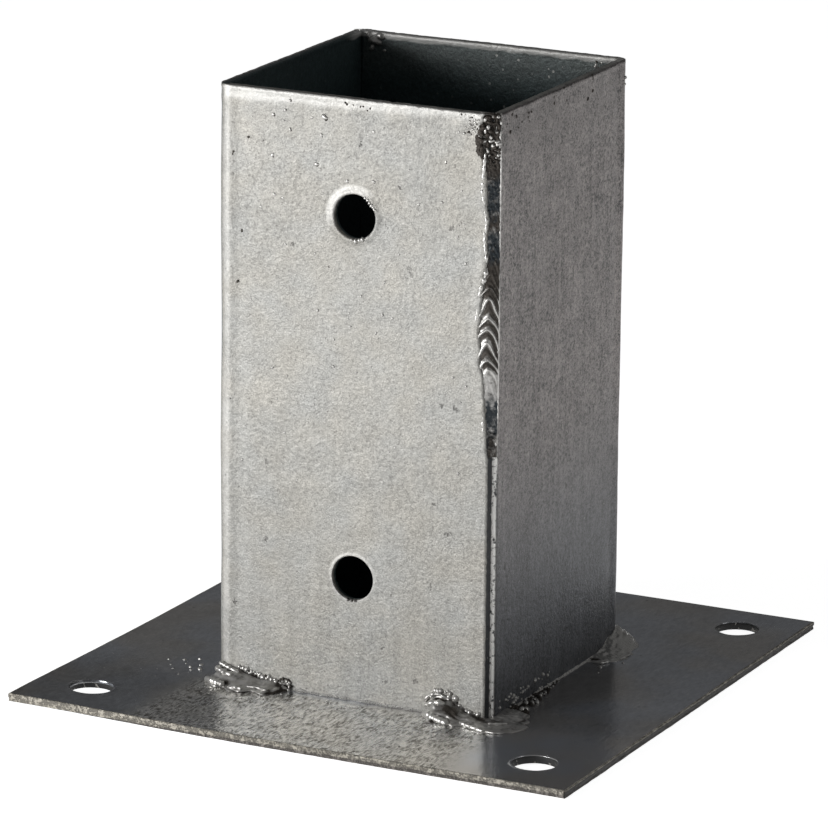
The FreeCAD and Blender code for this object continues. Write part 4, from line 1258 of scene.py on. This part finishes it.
class POSTBASE_OT_zinc_drops(bpy.types.Operator):
    """Scatter the zinc drops and weld spatter that galvanising leaves"""

    bl_idname = "postbase.zinc_drops"
    bl_label = "Add drops and spatter"

    def execute(self, context):
        look = context.scene.post_base_look
        rng = np.random.default_rng(look.seed)
        zinc = weld_zinc(look)
        for name, slot, scatter in (("front_pimples", "sleeve_zinc", self.front_pimples),
                                    ("rim_drops", "weld_zinc", self.rim_drops),
                                    ("plate_spatter", "weld_zinc", self.plate_spatter),
                                    ("toe_beading", "weld_zinc", self.toe_beading)):
            shell = Shell()
            scatter(shell, rng)
            shell.piece(name, slot, zinc)
        return {"FINISHED"}

    def front_pimples(self, shell, rng):
        """Pimples over the front wall: small ones scattered, and larger ones with a shade."""
        count = 90
        x = rng.uniform(-33, 31, count)
        z = TOP - 3 - 95 * rng.uniform(0, 1, count) ** 1.4
        size = 0.16 + 0.24 * rng.uniform(0, 1, count) ** 2.5
        clear = np.minimum(np.hypot(x, z - UPPER_HOLE), np.hypot(x, z - LOWER_HOLE)) > 8.5
        domes(shell, on_front(x, z, 0.02)[clear], FRONT, size[clear], 0.55 * size[clear], 1,
              (0, 0, 0.6))
        x, z, size = np.array(PIMPLES).T
        # A dark dome a little below and right of each larger pimple: a painted shadow.
        domes(shell, on_front(x + 0.4 * size, z - 0.6 * size, -0.05), FRONT,
              0.75 * size, 0.35 * size, 20, STAIN_AND_SHADOW)
        domes(shell, on_front(x, z), FRONT, size, 0.6 * size, 2, (0, 0, 1.3), columns=11)
        x, z = np.array(DARK_SPOTS).T
        domes(shell, on_front(x, z, -0.08), FRONT, 0 * x + 0.4, 0 * x + 0.2, 21, STAIN_AND_SHADOW)

    def rim_drops(self, shell, rng):
        """Drops at the back corner, on the rims and round the bolt holes."""
        centres, widths, heights = (np.array(column, float) for column in zip(*CORNER_LUMP))
        domes(shell, centres, FRONT, widths, heights, 3, (0.35, 0, 0.8), columns=13)
        count = 34                                        # on the back wall's inner face
        x = END - 0.4 - 6.5 * rng.uniform(0, 1, count) ** 1.5
        z = TOP - 0.8 - 3.2 * rng.uniform(0, 1, count)
        size = rng.uniform(0.2, 0.6, count)
        two_tone(shell, np.arange(count) % 5 > 1, (-0.1, 0, 1.2),
                 np.stack([x, 0 * x + END, z], -1), FRONT, size, 0.8 * size, 4, columns=7)
        domes(shell, [(OUT - 0.1, 35.0 - 0.6, 147.4), (OUT - 0.2, 34.3, 145.7),
                      (OUT - 0.1, 33.5, 146.6)], RIGHT,
              [0.55, 0.5, 0.3], [0.6, 0.5, 0.3], 5, (0.4, 0, 0.4))
        count = 22                                        # under the right wall's rim
        y = rng.uniform(-33, 20, count)
        z = TOP - 0.6 - 5.5 * rng.uniform(0, 1, count) ** 1.6
        size = rng.uniform(0.22, 0.5, count)
        domes(shell, on_right(y, z), RIGHT, size, 0.6 * size, 6, STAIN_AND_SHADOW)
        turn = np.radians([52, 44, 36, 30, 24, 60, -76, -86, -97, -68])   # round the upper hole
        ring = BOLT_RADIUS + rng.uniform(0.1, 0.5, len(turn))
        size = rng.uniform(0.3, 0.6, len(turn))
        domes(shell, on_front(ring * np.cos(turn), UPPER_HOLE + ring * np.sin(turn), 0.2),
              FRONT, size, 0.9 * size, 7, (0.15, 0, 1))
        domes(shell, [(-1.1, -OUT - 0.1, LOWER_HOLE - 5.5), (-0.1, -OUT - 0.1, LOWER_HOLE - 5.7),
                      (0.9, -OUT - 0.1, LOWER_HOLE - 5.6), (-3.2, -OUT, LOWER_HOLE - 4.6)], FRONT,
              [0.4, 0.35, 0.4, 0.25], [0.5, 0.45, 0.4, 0.3], 8, (0.5, 0, 0.4))

    def plate_spatter(self, shell, rng):
        """Spatter on the plate beside the beads and up the right wall's foot."""
        x, y, size = np.array(PLATE_SPATTER).T
        domes(shell, on_plate(x, y), UP, size, 0.8 * size, 9, (0, 0, 1))
        count = 150                                       # a crust along the right wall's foot
        along = rng.uniform(0, 1, count)
        x = OUT + 0.3 + (4.5 - 3.4 * along) * rng.uniform(0, 1, count) ** 1.5
        y = -27 + 27 * along ** 1.2
        size = rng.uniform(0.2, 0.95, count) * (1.1 - 0.75 * along)
        clean = np.arange(count) % 3 == 0
        tall = np.where(clean, rng.uniform(0.5, 1.3, count), rng.uniform(0.5, 1.3, count))
        two_tone(shell, clean, (-0.3, 0, 1.8), on_plate(x, y), UP, size, tall * size, 10,
                 columns=7)
        count = 60                                        # and up the wall itself
        y = -33 + 30 * rng.uniform(0, 1, count) ** 1.2
        z = THICK + 4.2 * rng.uniform(0, 1, count) ** 2
        size = rng.uniform(0.2, 0.6, count)
        domes(shell, on_right(y, z), RIGHT, size, size, 11, (-0.2, 0, 1.2), columns=7)
        count = 110                                       # fine spatter in front
        x = rng.uniform(-38, 30, count)
        y = -OUT - 4 - 24 * rng.uniform(0, 1, count) ** 1.7
        size = 0.12 + 0.22 * rng.uniform(0, 1, count) ** 2
        domes(shell, on_plate(x, y), UP, size, 0.6 * size, 12, (0.1, 0, 0.7), columns=7)

    def toe_beading(self, shell, rng):
        """Beading along the front welds' upper toes, and the crust round the seam's head."""
        left = np.linspace(-31, -18.5, 44)
        right_x, right_z = np.array(RIGHT_TOE).T
        x = np.concatenate([left, right_x])
        z = np.concatenate([ease(left, LEFT_TOE), right_z]) + rng.normal(0, 0.22, len(x))
        size = rng.uniform(0.35, 0.85, len(x))
        clean = np.arange(len(x)) % 4 != 1
        size = np.where(clean, size, 0.6 * size)
        two_tone(shell, clean, (-0.1, 0, 0.9), on_front(x, z), FRONT, size, 0.9 * size, 13)

        count = 46                                        # a burnt crust round the seam's head
        x = rng.uniform(31.5, 37.2, count)
        on_top = x > 35.6
        y = np.where(on_top, rng.uniform(-37.2, -35.6, count), -OUT + 0.3)
        z = np.where(on_top, TOP - 0.9, TOP - 1 - 5 * rng.uniform(0, 1, count) ** 1.5)
        size = rng.uniform(0.3, 0.7, count)
        two_tone(shell, np.arange(count) % 4 == 0, (-0.3, 0, 1.3), np.stack([x, y, z], -1),
                 np.where(on_top[:, None], UP, FRONT), size, 0.9 * size, 15)
        count = 60                                        # the crust's bulge on to the front wall
        turn = rng.uniform(0, 1, count)
        z = 141.0 + 7.4 * turn
        x = (33.9 - (1.7 * np.sin(np.pi * turn) + 0.2) * rng.uniform(0, 1, count) ** 0.4
             + rng.normal(0, 0.1, count))
        size = rng.uniform(0.35, 0.7, count)
        domes(shell, on_front(x, z, 0.18), FRONT, size, 0.7 * size, 16, STAIN_AND_SHADOW, columns=7)
        count = 44                                        # and the specks thrown beside it
        x = 33.0 - 5.0 * rng.uniform(0, 1, count) ** 2
        z = rng.uniform(146.0, 151.2, count)
        size = rng.uniform(0.14, 0.4, count)
        two_tone(shell, np.arange(count) % 4 > 0, (-0.1, 0, 1.1), on_front(x, z, 0.1), FRONT,
                 size, 0.9 * size, 17, columns=7)

        count = 9                                         # specks under the front wall's rim
        x, z = rng.uniform(-3, 4, count), rng.uniform(148.9, 150.6, count)
        size = rng.uniform(0.18, 0.35, count)
        domes(shell, on_front(x, z), FRONT, size, 0.8 * size, 18, STAIN_AND_SHADOW, columns=7)
        count = 22                                        # where the left foot bead runs out
        x, z = rng.uniform(-20.5, -16.4, count), rng.uniform(2.0, 4.6, count)
        size = rng.uniform(0.25, 0.55, count)
        two_tone(shell, np.arange(count) % 3 == 0, (-0.1, 0, 1.1),
                 on_front(x, z, 0.3 * (4.6 - z)), (0, -0.8, 0.6), size, 0.9 * size, 19, columns=7)
        count = 16                                        # sparks frozen in the upper crater
        x = rng.uniform(33.6, 37.0, count)
        z = rng.uniform(141.5, 147.5, count)
        size = rng.uniform(0.25, 0.6, count)
        domes(shell, on_front(x, z, -0.45 * (x - 33)), (0.5, -0.86, 0), size, size, 14,
              (-0.3, 0, 1))


# ------------------------------------------------------------------ the stage
def direction(azimuth, elevation):
    """Unit vector from the object towards an azimuth from the front and an elevation."""
    return Vector((math.sin(azimuth) * math.cos(elevation),
                   -math.cos(azimuth) * math.cos(elevation), math.sin(elevation)))


def add_lamp(name, azimuth, elevation, distance, size, power, aim):
    """A white oblong lamp that shines at the aim; the two angles are in degrees."""
    light = bpy.data.lights.new(name, "AREA")
    light.shape = "RECTANGLE"
    light.size, light.size_y = size
    light.energy = power
    lamp = bpy.data.objects.new(name, light)
    bpy.context.scene.collection.objects.link(lamp)
    back = direction(math.radians(azimuth), math.radians(elevation))
    lamp.location = aim + back * distance
    lamp.rotation_mode = "QUATERNION"
    lamp.rotation_quaternion = back.to_track_quat("Z", "Y")


class POSTBASE_OT_stage(bpy.types.Operator):
    """Set up the floor, the lamps, the world and the camera"""

    bl_idname = "postbase.stage"
    bl_label = "Set the stage"

    def execute(self, context):
        stage = context.scene.post_base_stage
        self.floor()
        self.world(context.scene, stage)
        aim = Vector((0, 0, 75 * MM))                     # half the part's height
        add_lamp("key", -34, 5, 0.8, (0.42, 0.26), stage.key_power, aim + Vector((0, 0, 0.03)))
        add_lamp("fill", 95, 22, 1.2, (0.5, 0.5), stage.fill_power, aim)
        self.camera(context.scene, stage, aim)
        return {"FINISHED"}

    def floor(self):
        """A wide disc under the part: white to the camera, pale to everything else."""
        radius, corners, sunk = 6.0, 64, 0.02 * MM
        turn = np.linspace(0, 2 * math.pi, corners, endpoint=False)
        points = np.column_stack([radius * np.cos(turn), radius * np.sin(turn),
                                  np.full(corners, -sunk)])
        mesh = bpy.data.meshes.new("floor")
        mesh.from_pydata(points.tolist(), [], [list(range(corners))])
        floor = bpy.data.objects.new("floor", mesh)
        bpy.context.scene.collection.objects.link(floor)
        shader = Shader("floor")
        path = shader.node("ShaderNodeLightPath")
        camera, glossy, through = (Value(shader, path.outputs["Is %s Ray" % kind])
                                   for kind in ("Camera", "Glossy", "Transmission"))
        seen = (camera + glossy).math("ADD", through, clamp=True)
        diffuse = shader.value("ShaderNodeBsdfDiffuse", {}, {"Color": (0.8, 0.8, 0.8, 1)})
        glow = shader.value("ShaderNodeEmission", {}, {"Color": (1, 1, 1, 1), "Strength": 1.0})
        dark = shader.value("ShaderNodeEmission", {}, {"Strength": 0.0})
        veil = shader.value("ShaderNodeMixShader", {}, {0: seen * 0.9, 1: dark, 2: glow})
        shader.end(shader.value("ShaderNodeAddShader", {}, {0: diffuse, 1: veil}))
        mesh.materials.append(shader.material)

    def world(self, scene, stage):
        """An even, dim light all round."""
        world = bpy.data.worlds.new("studio")
        scene.world = world
        world.use_nodes = True
        background = next(node for node in world.node_tree.nodes if node.type == "BACKGROUND")
        background.inputs["Color"].default_value = (1, 1, 1, 1)
        background.inputs["Strength"].default_value = stage.ambient

    def camera(self, scene, stage, aim):
        """The camera, turned about the aim, rolled, and slid in its own plane."""
        data = bpy.data.cameras.new("camera")
        data.sensor_width = 36.0
        data.lens = stage.focal
        data.clip_start = 0.05
        data.clip_end = 50.0
        camera = bpy.data.objects.new("camera", data)
        scene.collection.objects.link(camera)
        back = direction(stage.azimuth, stage.elevation)
        right = Vector((0, 0, 1)).cross(back).normalized()
        up = back.cross(right)
        cosine, sine = math.cos(stage.roll), math.sin(stage.roll)
        right, up = right * cosine + up * sine, up * cosine - right * sine
        place = aim + back * stage.distance - right * stage.slide[0] - up * stage.slide[1]
        axes = Matrix((right, up, back)).transposed()
        camera.matrix_world = Matrix.Translation(place) @ axes.to_4x4()
        scene.camera = camera


class POSTBASE_PT_sidebar(bpy.types.Panel):
    """Lists the steps that dress the post base"""

    bl_label = "Post Base"
    bl_idname = "POSTBASE_PT_sidebar"
    bl_space_type = "VIEW_3D"
    bl_region_type = "UI"
    bl_category = "Post Base"

    def draw(self, context):
        for step in STEPS:
            self.layout.operator(step.bl_idname)


STEPS = (POSTBASE_OT_sleeve, POSTBASE_OT_plate, POSTBASE_OT_seam_beads, POSTBASE_OT_foot_beads,
         POSTBASE_OT_zinc_drops, POSTBASE_OT_stage)
CLASSES = (PostBaseLook, PostBaseStage) + STEPS + (POSTBASE_PT_sidebar,)


def register():
    for kind in CLASSES:
        bpy.utils.register_class(kind)
    bpy.types.Scene.post_base_look = PointerProperty(type=PostBaseLook)
    bpy.types.Scene.post_base_stage = PointerProperty(type=PostBaseStage)


def unregister():
    del bpy.types.Scene.post_base_stage
    del bpy.types.Scene.post_base_look
    for kind in reversed(CLASSES):
        bpy.utils.unregister_class(kind)


def main():
    register()
    bpy.context.scene.view_settings.view_transform = "Standard"
    for step in STEPS:
        group, name = step.bl_idname.split(".")
        getattr(getattr(bpy.ops, group), name)()


if __name__ == "__main__":
    main()
